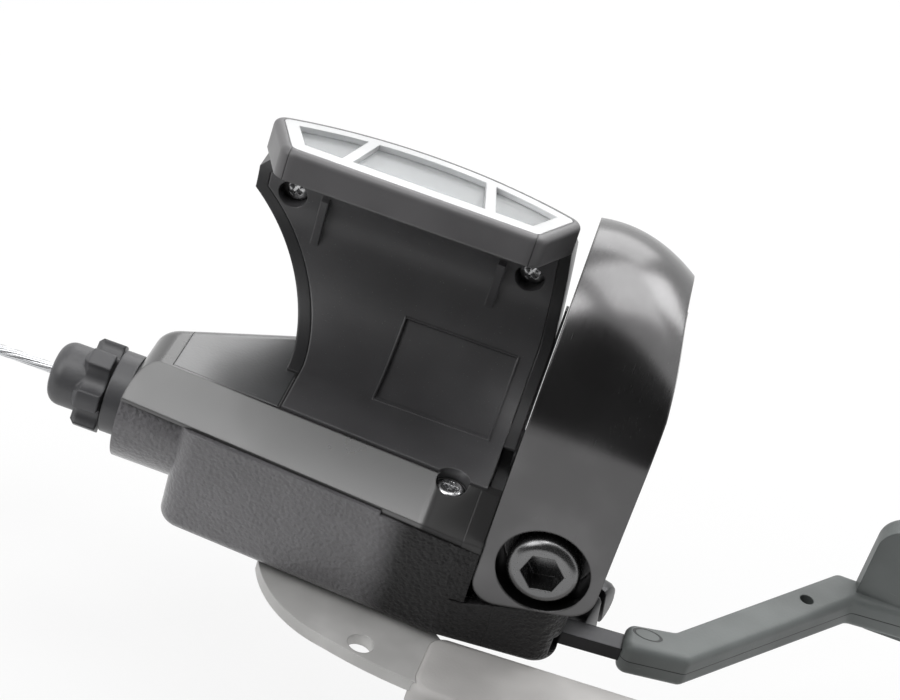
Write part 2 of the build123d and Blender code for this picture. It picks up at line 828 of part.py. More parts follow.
with BuildPart() as release_sleeve:
    with BuildSketch(Plane.XY.offset(sleeve_mid_z - sleeve_height / 2)):
        with BuildLine():
            FilletPolyline(
                (sleeve_start_x, sleeve_start_y - half_sleeve),
                (sleeve_bend_x + 0.5 * half_sleeve, sleeve_bend_y - half_sleeve),
                (sleeve_end_x - half_sleeve * run_across[0], sleeve_end_y - half_sleeve * run_across[1]),
                (sleeve_end_x + pad_length, pad_y - 0.5 * pad_thickness),
                (sleeve_end_x + pad_length, pad_y + 0.3 * pad_thickness),
                (sleeve_end_x + 0.6 * half_sleeve * run_across[0], pad_y + 0.3 * pad_thickness),
                (sleeve_bend_x - 0.5 * half_sleeve, sleeve_bend_y + half_sleeve),
                (sleeve_start_x, sleeve_start_y + half_sleeve),
                radius=1.2,
                close=True,
            )
        make_face()
        with Locations((sleeve_end_x - 4.1, sleeve_end_y - 4.7)):
            Circle(sleeve_hole_radius, mode=Mode.SUBTRACT)
    extrude(amount=sleeve_height)
    fillet(release_sleeve.faces().sort_by(Axis.Z)[-1].outer_wire().edges(), sleeve_edge)
    fillet(release_sleeve.faces().sort_by(Axis.Z)[0].outer_wire().edges(), sleeve_edge)
    add(finger_pad.part)
    add(release_arm.part, mode=Mode.SUBTRACT)
release_sleeve.part.label = "release_sleeve"

with BuildPart() as release_pin:
    with BuildSketch(Plane.XY.offset(housing_floor)):
        with Locations((release_x, release_y)):
            Circle(release_pin_radius)
    extrude(amount=notch_z - seat_clearance - housing_floor)
    with BuildSketch(Plane.XY.offset(release_arm_top + moving_gap)):
        with Locations((release_x, release_y)):
            Circle(release_boss_radius)
    extrude(amount=notch_z - seat_clearance - release_arm_top - moving_gap)
release_pin.part.label = "release_pin"

# Slotted plug that closes the cable hole, on a seat that leans towards the rider
plug_along = (cos(radians(plug_turn)), -sin(radians(plug_turn)), 0)
plug_seat = Plane(
    origin=(housing_right + plug_proud * plug_along[0], plug_y + plug_proud * plug_along[1], plug_z),
    x_dir=(0, 0, 1),
    z_dir=plug_along,
)
with BuildPart() as cable_hole_plug:
    with BuildSketch(plug_seat):
        Circle(plug_radius)
    extrude(amount=plug_thickness)
    chamfer(cable_hole_plug.faces().sort_by(Axis(plug_seat.origin, plug_seat.z_dir))[-1].edges(), 0.4)
    with BuildSketch(plug_seat.offset(plug_thickness)):
        Rectangle(plug_slot_width, 2 * plug_radius + 1, rotation=20)
    extrude(amount=-plug_slot_depth, mode=Mode.SUBTRACT)
    with BuildSketch(plug_seat):
        Circle(plug_shank_radius)
    extrude(amount=-housing_wall)
cable_hole_plug.part.label = "cable_hole_plug"

# Lower cover: open tray with a notch under the clamp's lug
with BuildPart() as lower_cover:
    with BuildSketch(Plane.XY.offset(housing_floor)):
        add(housing_plan(0))
    extrude(amount=parting_z - housing_floor)
    upright = lower_cover.edges().filter_by(Axis.Z)
    fillet(upright.filter_by(lambda edge: edge.center().X > 0 and edge.center().Y < 0), outer_corner)
    upright = lower_cover.edges().filter_by(Axis.Z)
    fillet(upright.filter_by(lambda edge: edge.center().X < 0.9 * housing_left), front_corner)
    fillet(lower_cover.faces().sort_by(Axis.Z)[0].edges(), floor_round)
    with BuildSketch(Plane.YZ.offset(boss_end)):
        with Locations((cable_y, cable_z)):
            Circle(boss_radius)
    extrude(amount=housing_left + housing_wall - boss_end)
    with BuildSketch(plug_seat):
        Circle(plug_radius + seat_clearance)
    extrude(amount=plug_seat_depth, mode=Mode.SUBTRACT)
    with BuildSketch(Plane.XY.offset(parting_z)):
        Rectangle(400, 400)
    extrude(amount=30, mode=Mode.SUBTRACT)
    with BuildSketch(Plane.XY.offset(inner_floor)):
        add(housing_plan(housing_wall))
    extrude(amount=notch_z - inner_floor, mode=Mode.SUBTRACT)
    with BuildSketch(Plane.XY.offset(notch_z)):
        add(housing_plan(housing_wall))
        with BuildLine():
            limit = cover_right - housing_wall
            Polyline((-100, -100), (limit, -100), (limit, 100), (-100, 100), close=True)
        make_face(mode=Mode.INTERSECT)
    extrude(amount=parting_z - notch_z, mode=Mode.SUBTRACT)
    with BuildSketch(Plane.XZ):
        with BuildLine():
            Polyline(
                (cover_right, notch_z),
                (band_inboard, notch_z),
                (band_outboard, notch_z + lug_rise),
                (band_outboard, 0),
                (cover_right, 0),
                close=True,
            )
        make_face()
    extrude(amount=60, both=True, mode=Mode.SUBTRACT)
    with Locations((parting_step_x + 50, parting_step_y - 50, parting_z)):
        Box(100, 100, 2 * parting_step, mode=Mode.SUBTRACT)
    flange_middle = 0.5 * (flange_low_y + flange_high_y)
    with Locations((cover_right, flange_middle, 0.5 * (notch_z + parting_z))):
        Box(4 * housing_wall, flange_high_y - flange_low_y + 0.6, parting_z - notch_z, mode=Mode.SUBTRACT)
    with BuildSketch(Plane.XY.offset(inner_floor)):
        with Locations((cover_screw_x, cover_screw_y)):
            Circle(cover_post_radius)
    extrude(amount=parting_z - inner_floor)
    with BuildSketch(Plane.XY.offset(parting_z)):
        with Locations((cover_screw_x, cover_screw_y)):
            Circle(cover_screw_radius + seat_clearance)
    extrude(amount=-6.0, mode=Mode.SUBTRACT)
    with BuildSketch(Plane.XY.offset(housing_floor)):
        with Locations((axle_x, axle_y)):
            Circle(hub_radius + moving_gap)
        with Locations((release_x, release_y)):
            Circle(release_pin_radius + seat_clearance)
    extrude(amount=housing_wall, mode=Mode.SUBTRACT)
    with Locations((housing_right, release_arm_y - 0.6, sleeve_mid_z)):
        Box(4 * housing_wall, release_arm_width + 2.8, release_arm_thickness + 0.9, mode=Mode.SUBTRACT)
    with BuildSketch(plug_seat):
        Circle(plug_radius)
    extrude(amount=-plug_seat_depth)
    with BuildSketch(plug_seat):
        Circle(plug_shank_radius + seat_clearance)
    extrude(amount=-2 * plug_seat_depth, mode=Mode.SUBTRACT)
    with BuildSketch(Plane.YZ.offset(boss_end)):
        with Locations((cable_y, cable_z)):
            Circle(socket_radius + seat_clearance)
    extrude(amount=socket_inner_end - boss_end, mode=Mode.SUBTRACT)
lower_cover.part.label = "lower_cover"

# Upper cover: lid with a sloped front strip, and a trough for the saddle plate
with BuildPart() as cover_blank:
    with BuildSketch(Plane.XY.offset(parting_z)):
        add(cover_plan(0))
    extrude(amount=housing_top - parting_z)
    upright = cover_blank.edges().filter_by(Axis.Z).sort_by(Axis.X)
    fillet(upright[:2].sort_by(Axis.Y)[-1], cover_end_round)
    rear_edges = cover_blank.faces().sort_by(Axis.Z)[-1].edges().filter_by(lambda edge: edge.center().Y > right_rear_y)
    fillet(rear_edges, cover_rear_round)
    for station in (cover_left - 0.5, crease_x, cover_right + 0.5):
        share = (station - cover_left) / (crease_x - cover_left)
        front_y = cover_left_front_y + (front_crease_y + cover_step_in - cover_left_front_y) * min(1.0, share)
        top_y = slope_top_y(station)
        steepness = (housing_top - parting_z - slope_lip) / (top_y - front_y)
        with BuildSketch(Plane.YZ.offset(station)):
            with BuildLine():
                Polyline(
                    (top_y, housing_top),
                    (front_y - 1, parting_z + slope_lip - steepness),
                    (front_y - 1, housing_top + 1),
                    (top_y, housing_top + 1),
                    close=True,
                )
            make_face()
    loft(ruled=True, mode=Mode.SUBTRACT)

trough_left = saddle_waist_x + rear_wall
panel_right = trough_left - 0.3
with BuildPart() as panel_pocket:
    with BuildSketch(Plane.XY.offset(housing_top - panel_depth)):
        with BuildLine():
            Polyline(
                (panel_left, slope_top_y(panel_left) + 0.3),
                (panel_right, slope_top_y(panel_right) + 0.3),
                (panel_right, 40),
                (panel_left, 40),
                close=True,
            )
        make_face()
    extrude(amount=10)

with BuildPart() as upper_cover:
    add(cover_blank.part)
    add(panel_pocket.part, mode=Mode.SUBTRACT)
    with BuildSketch(Plane.XY.offset(parting_z - parting_step)):
        add(cover_plan(0))
        add(cover_plan(housing_wall), mode=Mode.SUBTRACT)
        with BuildLine():
            step_x = parting_step_x + seat_clearance
            step_y = parting_step_y - seat_clearance
            Polyline((step_x, -100), (cover_right, -100), (cover_right, step_y), (step_x, step_y), close=True)
        make_face(mode=Mode.INTERSECT)
    extrude(amount=parting_step)
    add(
        ring_sector(
            saddle_radius - 2,
            saddle_radius + saddle_thickness + seat_clearance,
            -180,
            0,
            trough_left,
            cover_right + 1,
        ),
        mode=Mode.SUBTRACT,
    )
    with BuildSketch(Plane.XY.offset(-saddle_radius - saddle_thickness - seat_clearance)):
        with BuildLine():
            Polyline(
                (trough_left, slope_top_y(trough_left) + shelf_edge - seat_clearance),
                (cover_right + 1, slope_top_y(cover_right + 1) + shelf_edge - seat_clearance),
                (cover_right + 1, 0),
                (trough_left, 0),
                close=True,
            )
        make_face()
    extrude(amount=10, mode=Mode.SUBTRACT)
    with BuildSketch(Plane.XY.offset(parting_z)):
        add(housing_plan(housing_wall))
        with BuildLine():
            Polyline((-100, -100), (cover_right, -100), (cover_right, 100), (-100, 100), close=True)
        make_face(mode=Mode.INTERSECT)
    extrude(amount=ceiling_z - parting_z, mode=Mode.SUBTRACT)
    with BuildSketch(Plane.YZ.offset(boss_end)):
        with Locations((cable_y, cable_z)):
            Circle(socket_radius + seat_clearance)
    extrude(amount=socket_inner_end - boss_end, mode=Mode.SUBTRACT)
    head_seat = housing_top - 1.9
    with BuildSketch(Plane.XY.offset(head_seat)):
        with Locations((cover_screw_x, cover_screw_y)):
            Circle(cover_head_radius + 0.2)
    extrude(amount=5, mode=Mode.SUBTRACT)
    with BuildSketch(Plane.XY.offset(head_seat)):
        with Locations((cover_screw_x, cover_screw_y)):
            Circle(cover_screw_radius + seat_clearance)
    extrude(amount=-5, mode=Mode.SUBTRACT)
upper_cover.part.label = "upper_cover"

# Top panel: separate grained panel let into the upper cover beside the saddle
with BuildPart() as top_panel:
    with BuildSketch(Plane.XY.offset(housing_top - panel_depth)):
        with BuildLine():
            Polyline(
                (panel_left + seat_clearance, slope_top_y(panel_left) + 0.3 + seat_clearance),
                (panel_right - seat_clearance, slope_top_y(panel_right) + 0.3 + seat_clearance),
                (panel_right - seat_clearance, 40),
                (panel_left + seat_clearance, 40),
                close=True,
            )
        make_face()
    extrude(amount=10)
    add(cover_blank.part, mode=Mode.INTERSECT)
top_panel.part.label = "top_panel"

with BuildPart() as cover_screw:
    with BuildSketch(Plane.XY.offset(head_seat)):
        with Locations((cover_screw_x, cover_screw_y)):
            Circle(cover_head_radius)
    extrude(amount=cover_head_height)
    fillet(cover_screw.edges().group_by(Axis.Z)[-1], 0.5)
    with BuildSketch(Plane.XY.offset(head_seat)):
        with Locations((cover_screw_x, cover_screw_y)):
            Circle(cover_screw_radius)
    extrude(amount=-(head_seat - parting_z) - 5.5)
    with Locations((cover_screw_x, cover_screw_y, head_seat + cover_head_height)):
        Box(1.6, 0.4, 0.9, mode=Mode.SUBTRACT)
        Box(0.4, 1.6, 0.9, mode=Mode.SUBTRACT)
cover_screw.part.label = "cover_screw"

# Rear cover: curved tray behind the bar, from the upper cover to the gear display
with BuildPart() as tray_pocket:
    add(
        ring_sector(
            saddle_radius - 2,
            rear_outer_radius - rear_wall,
            -70,
            saddle_top_angle + 1,
            saddle_left - 1,
            saddle_right + 1,
        )
    )
    with BuildSketch(Plane.XZ):
        add(saddle_outline(rear_wall))
    extrude(amount=60, both=True, mode=Mode.INTERSECT)
    with BuildSketch(Plane.YZ.offset(saddle_left)):
        add(below_slope(rear_wall))
    extrude(amount=saddle_right - saddle_left, mode=Mode.INTERSECT)
    add(saddle_ring(saddle_radius - 2, saddle_radius + saddle_thickness + seat_clearance, rear_wall))

with BuildPart() as display_block:
    with BuildSketch(dial_plane) as display_plan:
        with BuildLine():
            Polyline(
                (-dial_back_half, dial_side_depth),
                (-dial_front_half, 0),
                (dial_front_half, 0),
                (dial_back_half, dial_side_depth),
            )
            ThreePointArc(
                (dial_back_half, dial_side_depth),
                (0, dial_mid_depth),
                (-dial_back_half, dial_side_depth),
            )
        make_face()
        fillet(display_plan.vertices(), dial_corner)
    extrude(amount=-dial_height)

with BuildPart() as rear_cover:
    with BuildSketch(Plane.YZ.offset(saddle_left)):
        Circle(rear_outer_radius)
        Circle(saddle_radius, mode=Mode.SUBTRACT)
        with BuildLine():
            far = 3 * rear_outer_radius
            Polyline(
                (0, 0),
                (0, housing_top),
                (far, housing_top),
                (far, far * tan(radians(rear_top_angle))),
                close=True,
            )
        make_face(mode=Mode.INTERSECT)
        add(below_slope(0), mode=Mode.INTERSECT)
    extrude(amount=saddle_right - saddle_left)
    with BuildSketch(Plane.XZ):
        add(saddle_outline(0))
    extrude(amount=60, both=True, mode=Mode.INTERSECT)
    add(tray_pocket.part, mode=Mode.SUBTRACT)
    add(display_block.part, mode=Mode.SUBTRACT)
    with BuildSketch(Plane.XZ):
        with Locations((saddle_screw_left, saddle_screw_z), (saddle_screw_right, saddle_screw_z)):
            Circle(saddle_screw_radius + seat_clearance)
    extrude(amount=-(rear_outer_radius - 0.4), mode=Mode.SUBTRACT)
rear_cover.part.label = "rear_cover"

# Saddle plate: thin curved liner that the bar lies against
with BuildPart() as saddle_plate:
    add(
        ring_sector(
            saddle_radius,
            saddle_radius + saddle_thickness,
            saddle_front_angle,
            saddle_top_angle,
            saddle_left,
            saddle_right,
        )
    )
    with BuildSketch(Plane.XY.offset(-saddle_radius - saddle_thickness)):
        with BuildLine():
            Polyline(
                (saddle_left, slope_top_y(saddle_left) + shelf_edge),
                (saddle_right, slope_top_y(saddle_right) + shelf_edge),
                (saddle_right, 0),
                (saddle_left, 0),
                close=True,
            )
        make_face()
        with Locations((cover_screw_x, cover_screw_y)):
            Circle(cover_head_radius + moving_gap, mode=Mode.SUBTRACT)
    extrude(amount=saddle_thickness)
    boss_end_y = sqrt((rear_outer_radius - rear_wall) ** 2 - (saddle_screw_z + saddle_boss_radius) ** 2) - 0.1
    with BuildSketch(Plane.XZ.offset(-saddle_radius)):
        with Locations((saddle_screw_left, saddle_screw_z), (saddle_screw_right, saddle_screw_z)):
            Circle(saddle_boss_radius)
    extrude(amount=-(boss_end_y - saddle_radius))
    with BuildSketch(Plane.XZ):
        add(saddle_outline(rear_wall + seat_clearance))
    extrude(amount=60, both=True, mode=Mode.INTERSECT)
    head_seat_y = boss_end_y - 1.2
    with BuildSketch(Plane.XZ):
        with Locations((saddle_screw_left, saddle_screw_z), (saddle_screw_right, saddle_screw_z)):
            Circle(saddle_head_radius + 0.15)
    extrude(amount=-head_seat_y, mode=Mode.SUBTRACT)
    with BuildSketch(Plane.XZ):
        with Locations((saddle_screw_left, saddle_screw_z), (saddle_screw_right, saddle_screw_z)):
            Circle(saddle_screw_radius + seat_clearance)
    extrude(amount=-2 * saddle_radius, mode=Mode.SUBTRACT)
    add(
        ring_sector(
            saddle_radius - 1,
            saddle_radius + recess_depth,
            recess_bottom_angle,
            recess_top_angle,
            recess_left,
            recess_right,
        ),
        mode=Mode.SUBTRACT,
    )
    for rib_x in (saddle_left + rib_inset_left, saddle_right - rib_inset_right):
        with BuildSketch(Plane.YZ.offset(rib_x - rib_width / 2)):
            with BuildLine():
                Polyline(
                    polar(saddle_radius + 0.3, rib_top_angle),
                    polar(saddle_radius - rib_height, rib_top_angle),
                    polar(saddle_radius, rib_bottom_angle),
                    polar(saddle_radius + 0.3, rib_bottom_angle),
                    close=True,
                )
            make_face()
        extrude(amount=rib_width)
saddle_plate.part.label = "saddle_plate"


def saddle_screw(x):
    """Return one of the two screws that hold the saddle plate to the rear cover."""
    with BuildPart(mode=Mode.PRIVATE) as screw:
        with BuildSketch(Plane.XZ.offset(-head_seat_y)):
            with Locations((x, saddle_screw_z)):
                Circle(saddle_head_radius)
        extrude(amount=saddle_head_height)
        fillet(screw.edges().group_by(Axis.Y)[0], 0.4)
        with BuildSketch(Plane.XZ.offset(-head_seat_y + saddle_head_height)):
            with Locations((x, saddle_screw_z)):
                Rectangle(1.7, 0.45)
                Rectangle(0.45, 1.7)
        extrude(amount=-0.6, mode=Mode.SUBTRACT)
        with BuildSketch(Plane.XZ.offset(-head_seat_y)):
            with Locations((x, saddle_screw_z)):
                Circle(saddle_screw_radius)
        extrude(amount=-(rear_outer_radius - 0.6 - head_seat_y))
    return screw.part


with BuildPart() as saddle_screw_inboard:
    add(saddle_screw(saddle_screw_left))
saddle_screw_inboard.part.label = "saddle_screw_inboard"

with BuildPart() as saddle_screw_outboard:
    add(saddle_screw(saddle_screw_right))
saddle_screw_outboard.part.label = "saddle_screw_outboard"

# Gear display: black housing, dial, pointer, clear lens and silver frame
display_floor = dial_height - dial_floor
with BuildPart() as display_housing:
    add(display_block.part)
    rim = display_housing.faces().sort_by(Axis(dial_plane.origin, dial_plane.z_dir))[-1].edges()
    fillet(rim, dial_edge)
    with BuildSketch(dial_plane):
        add(display_plan.sketch_local)
        offset(amount=-dial_wall)
    extrude(amount=-(frame_thickness + lens_thickness), mode=Mode.SUBTRACT)
    with BuildSketch(dial_plane):
        add(display_plan.sketch_local)
        offset(amount=-dial_wall - dial_ledge)
    extrude(amount=-display_floor, mode=Mode.SUBTRACT)
display_housing.part.label = "display_housing"

with BuildPart() as display_dial:
    with BuildSketch(dial_plane.offset(-display_floor)):
        add(display_plan.sketch_local)
        offset(amount=-dial_wall - dial_ledge - seat_clearance)
    extrude(amount=dial_plate_thickness)
display_dial.part.label = "display_dial"

with BuildPart() as display_pointer:
    pointer_depth = 0.5 * (frame_thickness + lens_thickness + display_floor - dial_plate_thickness)
    with BuildSketch(dial_plane.offset(-pointer_depth - pointer_thickness / 2)):
        with Locations((pointer_offset, 0.5 * dial_mid_depth)):
            Rectangle(pointer_width, 0.42 * dial_mid_depth)
    extrude(amount=pointer_thickness)
display_pointer.part.label = "display_pointer"

with BuildPart() as display_lens:
    with BuildSketch(dial_plane.offset(-frame_thickness - lens_thickness)):
        add(display_plan.sketch_local)
        offset(amount=-dial_wall - seat_clearance)
    extrude(amount=lens_thickness)
display_lens.part.label = "display_lens"

with BuildPart() as display_windows:
    with BuildSketch(dial_plane.offset(-2 * frame_thickness)):
        add(display_plan.sketch_local)
        offset(amount=-dial_wall - frame_border)
        with Locations((0, 0)):
            Rectangle(4 * dial_back_half, 2 * (dial_wall + frame_front_border), mode=Mode.SUBTRACT)
        for side in (-1, 1):
            with Locations((side * frame_bar_place, 0.5 * dial_mid_depth)):
                Rectangle(frame_bar_width, 2 * dial_mid_depth, rotation=side * frame_bar_slant, mode=Mode.SUBTRACT)
    extrude(amount=4 * frame_thickness)

with BuildPart() as display_frame:
    with BuildSketch(dial_plane.offset(-frame_thickness)):
        add(display_plan.sketch_local)
        offset(amount=-dial_wall - seat_clearance)
    extrude(amount=frame_thickness)
    add(display_windows.part, mode=Mode.SUBTRACT)
display_frame.part.label = "display_frame"

# Barrel adjuster: fixed socket in the housing's boss, and a lobed knob on a threaded stem
with BuildPart() as adjuster_socket:
    with BuildSketch(Plane.YZ.offset(socket_inner_end)):
        with Locations((cable_y, cable_z)):
            Circle(socket_radius)
    extrude(amount=boss_end - socket_inner_end)
    with BuildSketch(Plane.YZ.offset(boss_end)):
        with Locations((cable_y, cable_z)):
            Circle(socket_collar_radius)
    extrude(amount=collar_end - boss_end)
    with BuildSketch(Plane.YZ.offset(collar_end)):
        with Locations((cable_y, cable_z)):
            Circle(stem_radius + running_clearance)
    extrude(amount=socket_inner_end - collar_end, mode=Mode.SUBTRACT)
adjuster_socket.part.label = "adjuster_socket"

knob_tip = knob_start - knob_length
with BuildPart() as adjuster_knob:
    with BuildSketch(Plane.YZ.offset(knob_start)):
        with Locations((cable_y, cable_z)):
            Circle(knob_radius)
            with PolarLocations(knob_radius + 0.15, knob_lobes, start_angle=20):
                Circle(knob_scoop_radius, mode=Mode.SUBTRACT)
    extrude(amount=-knob_ring)
    chamfer(adjuster_knob.faces().sort_by(Axis.X)[0].edges(), 0.5)
    with BuildSketch(Plane.YZ.offset(knob_start)):
        with Locations((cable_y, cable_z)):
            Circle(knob_dome_radius)
    extrude(amount=-knob_length)
    fillet(adjuster_knob.faces().sort_by(Axis.X)[0].edges(), 1.5)
    with BuildSketch(Plane.YZ.offset(knob_start)):
        with Locations((cable_y, cable_z)):
            Circle(stem_radius)
    extrude(amount=stem_inner_end - knob_start)
    with BuildSketch(Plane.YZ.offset(knob_tip - 1)):
        with Locations((cable_y, cable_z)):
            Circle(knob_bore_radius)
    extrude(amount=stem_inner_end - knob_tip + 2, mode=Mode.SUBTRACT)
adjuster_knob.part.label = "adjuster_knob"

# Inner cable: straight stretch through the adjuster, and the rest tied in a coil
cable_inner_end = axle_x - 0.4
coil_depth = 2 * cable_radius * coil_layers
coil_width = 2 * cable_radius * coil_rows
coil_outer_radius = coil_mid_radius + coil_depth / 2
coil_inner_radius = coil_mid_radius - coil_depth / 2
coil_x = cable_free_end - 4.0
coil_z = cable_z - coil_outer_radius + cable_radius
with BuildPart() as cable_coil:
    with BuildSketch(Plane.XZ.offset(-cable_y - coil_width / 2)):
        with Locations((coil_x, coil_z)):
            Circle(coil_outer_radius)
            Circle(coil_inner_radius, mode=Mode.SUBTRACT)
    extrude(amount=coil_width)
cable_coil.part.label = "cable_coil"

with BuildPart() as inner_cable:
    with BuildSketch(Plane.YZ.offset(cable_inner_end)):
        with Locations((cable_y, cable_z)):
            Circle(cable_radius)
    extrude(amount=cable_free_end - cable_inner_end)
    add(cable_coil.part, mode=Mode.SUBTRACT)
inner_cable.part.label = "inner_cable"

# Tie: a thin band round all the turns at the bottom of the coil
with BuildPart() as coil_tie:
    with Locations((coil_x, cable_y, coil_z - coil_mid_radius)):
        Box(tie_width, coil_width + 2 * tie_thickness, coil_depth + 2 * tie_thickness + 0.6)
    fillet(coil_tie.edges().filter_by(Axis.X), tie_thickness)
    add(cable_coil.part, mode=Mode.SUBTRACT)
coil_tie.part.label = "coil_tie"

pieces = (
    clamp_band,
    clamp_bolt,
    base_plate,
    bracket_screw,
    main_axle,
    axle_washer,
    axle_nut,
    cable_drum,
    cable_nipple,
    ratchet_ring,
    holding_pawl,
    holding_pin,
    feed_pawl,
    lever_hub,
    lever_spring,
    main_lever_plate,
    main_lever_cap,
    release_arm,
    release_sleeve,
    release_pin,
    cable_hole_plug,
    lower_cover,
    upper_cover,
    top_panel,
    cover_screw,
    rear_cover,
    saddle_plate,
    saddle_screw_inboard,
    saddle_screw_outboard,
    display_housing,
    display_dial,
    display_pointer,
    display_lens,
    display_frame,
    adjuster_socket,
    adjuster_knob,
    inner_cable,
    cable_coil,
    coil_tie,
)
os.makedirs("parts", exist_ok=True)
for piece in pieces:
    export_step(piece.part, f"parts/{piece.part.label}.step")
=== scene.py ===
import logging
import math
from dataclasses import dataclass
from enum import Enum
from typing import ClassVar, Sequence, Union

import bmesh
import bpy
from mathutils import Matrix, Vector


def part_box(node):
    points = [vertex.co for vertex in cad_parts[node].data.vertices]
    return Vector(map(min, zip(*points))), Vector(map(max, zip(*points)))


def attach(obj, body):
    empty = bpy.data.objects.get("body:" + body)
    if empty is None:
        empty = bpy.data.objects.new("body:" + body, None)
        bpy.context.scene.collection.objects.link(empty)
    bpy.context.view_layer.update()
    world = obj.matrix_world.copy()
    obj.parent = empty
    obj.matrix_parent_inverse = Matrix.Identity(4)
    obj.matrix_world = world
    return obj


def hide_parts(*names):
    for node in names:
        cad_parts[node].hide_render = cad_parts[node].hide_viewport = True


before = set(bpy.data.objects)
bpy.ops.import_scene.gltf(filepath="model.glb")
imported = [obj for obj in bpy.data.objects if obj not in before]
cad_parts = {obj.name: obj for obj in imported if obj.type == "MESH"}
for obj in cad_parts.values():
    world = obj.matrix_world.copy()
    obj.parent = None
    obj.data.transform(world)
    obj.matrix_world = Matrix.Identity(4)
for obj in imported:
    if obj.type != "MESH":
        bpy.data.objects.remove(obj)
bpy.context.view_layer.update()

LOG = logging.getLogger("trigger_shifter")
MM = 0.001
Number = Union[int, float]
Colour = tuple[float, float, float]
WHITE: Colour = (1.0, 1.0, 1.0)
SHIFTER_BODY = "shifter_body"
ROUND_STEPS = 48
WELD = 0.001 * MM
SMOOTH_ANGLE = 35.0


class Grain(Enum):
    """How a moulded surface was textured in its tool."""

    SPARK_ERODED = "spark"
    LEATHER = "leather"
    POLISHED = "polished"


class Socket:
    """A shader value that can be used in Python arithmetic."""

    def __init__(self, graph: "Graph", link: bpy.types.NodeSocket) -> None:
        """Keep the graph and the output socket that carries the value."""
        self.graph = graph
        self.link = link

    def _math(self, operation: str, a: "Term", b: "Term") -> "Socket":
        """Add one Math node.

        Args:
            operation: The node's operation.
            a: The first value.
            b: The second value.

        Returns:
            The node's output.
        """
        return self.graph.node("ShaderNodeMath", {"operation": operation}, {0: a, 1: b})

    def __add__(self, other: "Term") -> "Socket":
        """Add a value."""
        return self._math("ADD", self, other)

    def __radd__(self, other: "Term") -> "Socket":
        """Add this to a value."""
        return self._math("ADD", other, self)

    def __sub__(self, other: "Term") -> "Socket":
        """Take a value away."""
        return self._math("SUBTRACT", self, other)

    def __rsub__(self, other: "Term") -> "Socket":
        """Take this away from a value."""
        return self._math("SUBTRACT", other, self)

    def __mul__(self, other: "Term") -> "Socket":
        """Multiply by a value."""
        return self._math("MULTIPLY", self, other)

    def __rmul__(self, other: "Term") -> "Socket":
        """Multiply a value by this."""
        return self._math("MULTIPLY", other, self)

    def __truediv__(self, other: "Term") -> "Socket":
        """Divide by a value."""
        return self._math("DIVIDE", self, other)

    def __pow__(self, other: "Term") -> "Socket":
        """Raise to a power."""
        return self._math("POWER", self, other)

    def __abs__(self) -> "Socket":
        """Return the size without its sign."""
        return self._math("ABSOLUTE", self, 0.0)

    def sine(self) -> "Socket":
        """Return the sine, in radians."""
        return self._math("SINE", self, 0.0)

    def most(self, other: "Term") -> "Socket":
        """Return the larger of this and another value."""
        return self._math("MAXIMUM", self, other)

    def above(self, threshold: "Term") -> "Socket":
        """Return 1 where this is above a threshold, and 0 elsewhere."""
        return self._math("GREATER_THAN", self, threshold)

    def ramp(self, low: Number, high: Number) -> "Socket":
        """Return a smooth rise from 0 to 1 between two values.

        Args:
            low: The value where the rise starts.
            high: The value where it ends.

        Returns:
            The rise.
        """
        settings = {"interpolation_type": "SMOOTHSTEP"}
        ends = {"Value": self, "From Min": low, "From Max": high}
        return self.graph.node("ShaderNodeMapRange", settings, ends)


Term = Union[Socket, Number, Colour, tuple]


class Graph:
    """The node tree of a material or of the world."""

    def __init__(self, tree: bpy.types.NodeTree) -> None:
        """Keep the tree that nodes are added to."""
        self.tree = tree

    def node(
        self,
        kind: str,
        settings: dict[str, object] | None = None,
        inputs: dict[object, Term] | None = None,
        output: object = 0,
    ) -> Socket:
        """Add a node.

        Args:
            kind: The node's type.
            settings: Its properties, which are set first.
            inputs: Values or links, by socket name or number.
            output: The output that is returned.

        Returns:
            The chosen output.
        """
        made = self.tree.nodes.new(kind)
        for key, value in (settings or {}).items():
            setattr(made, key, value)
        for key, value in (inputs or {}).items():
            self.feed(made.inputs[key], value)
        return Socket(self, made.outputs[output])

    def feed(self, socket: bpy.types.NodeSocket, value: Term) -> None:
        """Link a socket, or set its value.

        Args:
            socket: The input socket.
            value: A link, a number or a colour.
        """
        if isinstance(value, Socket):
            self.tree.links.new(value.link, socket)
        elif isinstance(value, tuple) and socket.type == "RGBA":
            socket.default_value = (*value, 1.0)
        else:
            socket.default_value = value

    def seen(self) -> Socket:
        """Return 1 for what the camera sees, also in a mirror or through glass, and 0 elsewhere."""
        camera, glossy, clear = (
            self.node("ShaderNodeLightPath", output=f"Is {kind} Ray")
            for kind in ("Camera", "Glossy", "Transmission")
        )
        return camera.most(glossy).most(clear)

    def close(self, output: str, shader: Socket) -> None:
        """Link a shader to the tree's output node.

        Args:
            output: The output node's name.
            shader: The shader.
        """
        self.feed(self.tree.nodes[output].inputs["Surface"], shader)


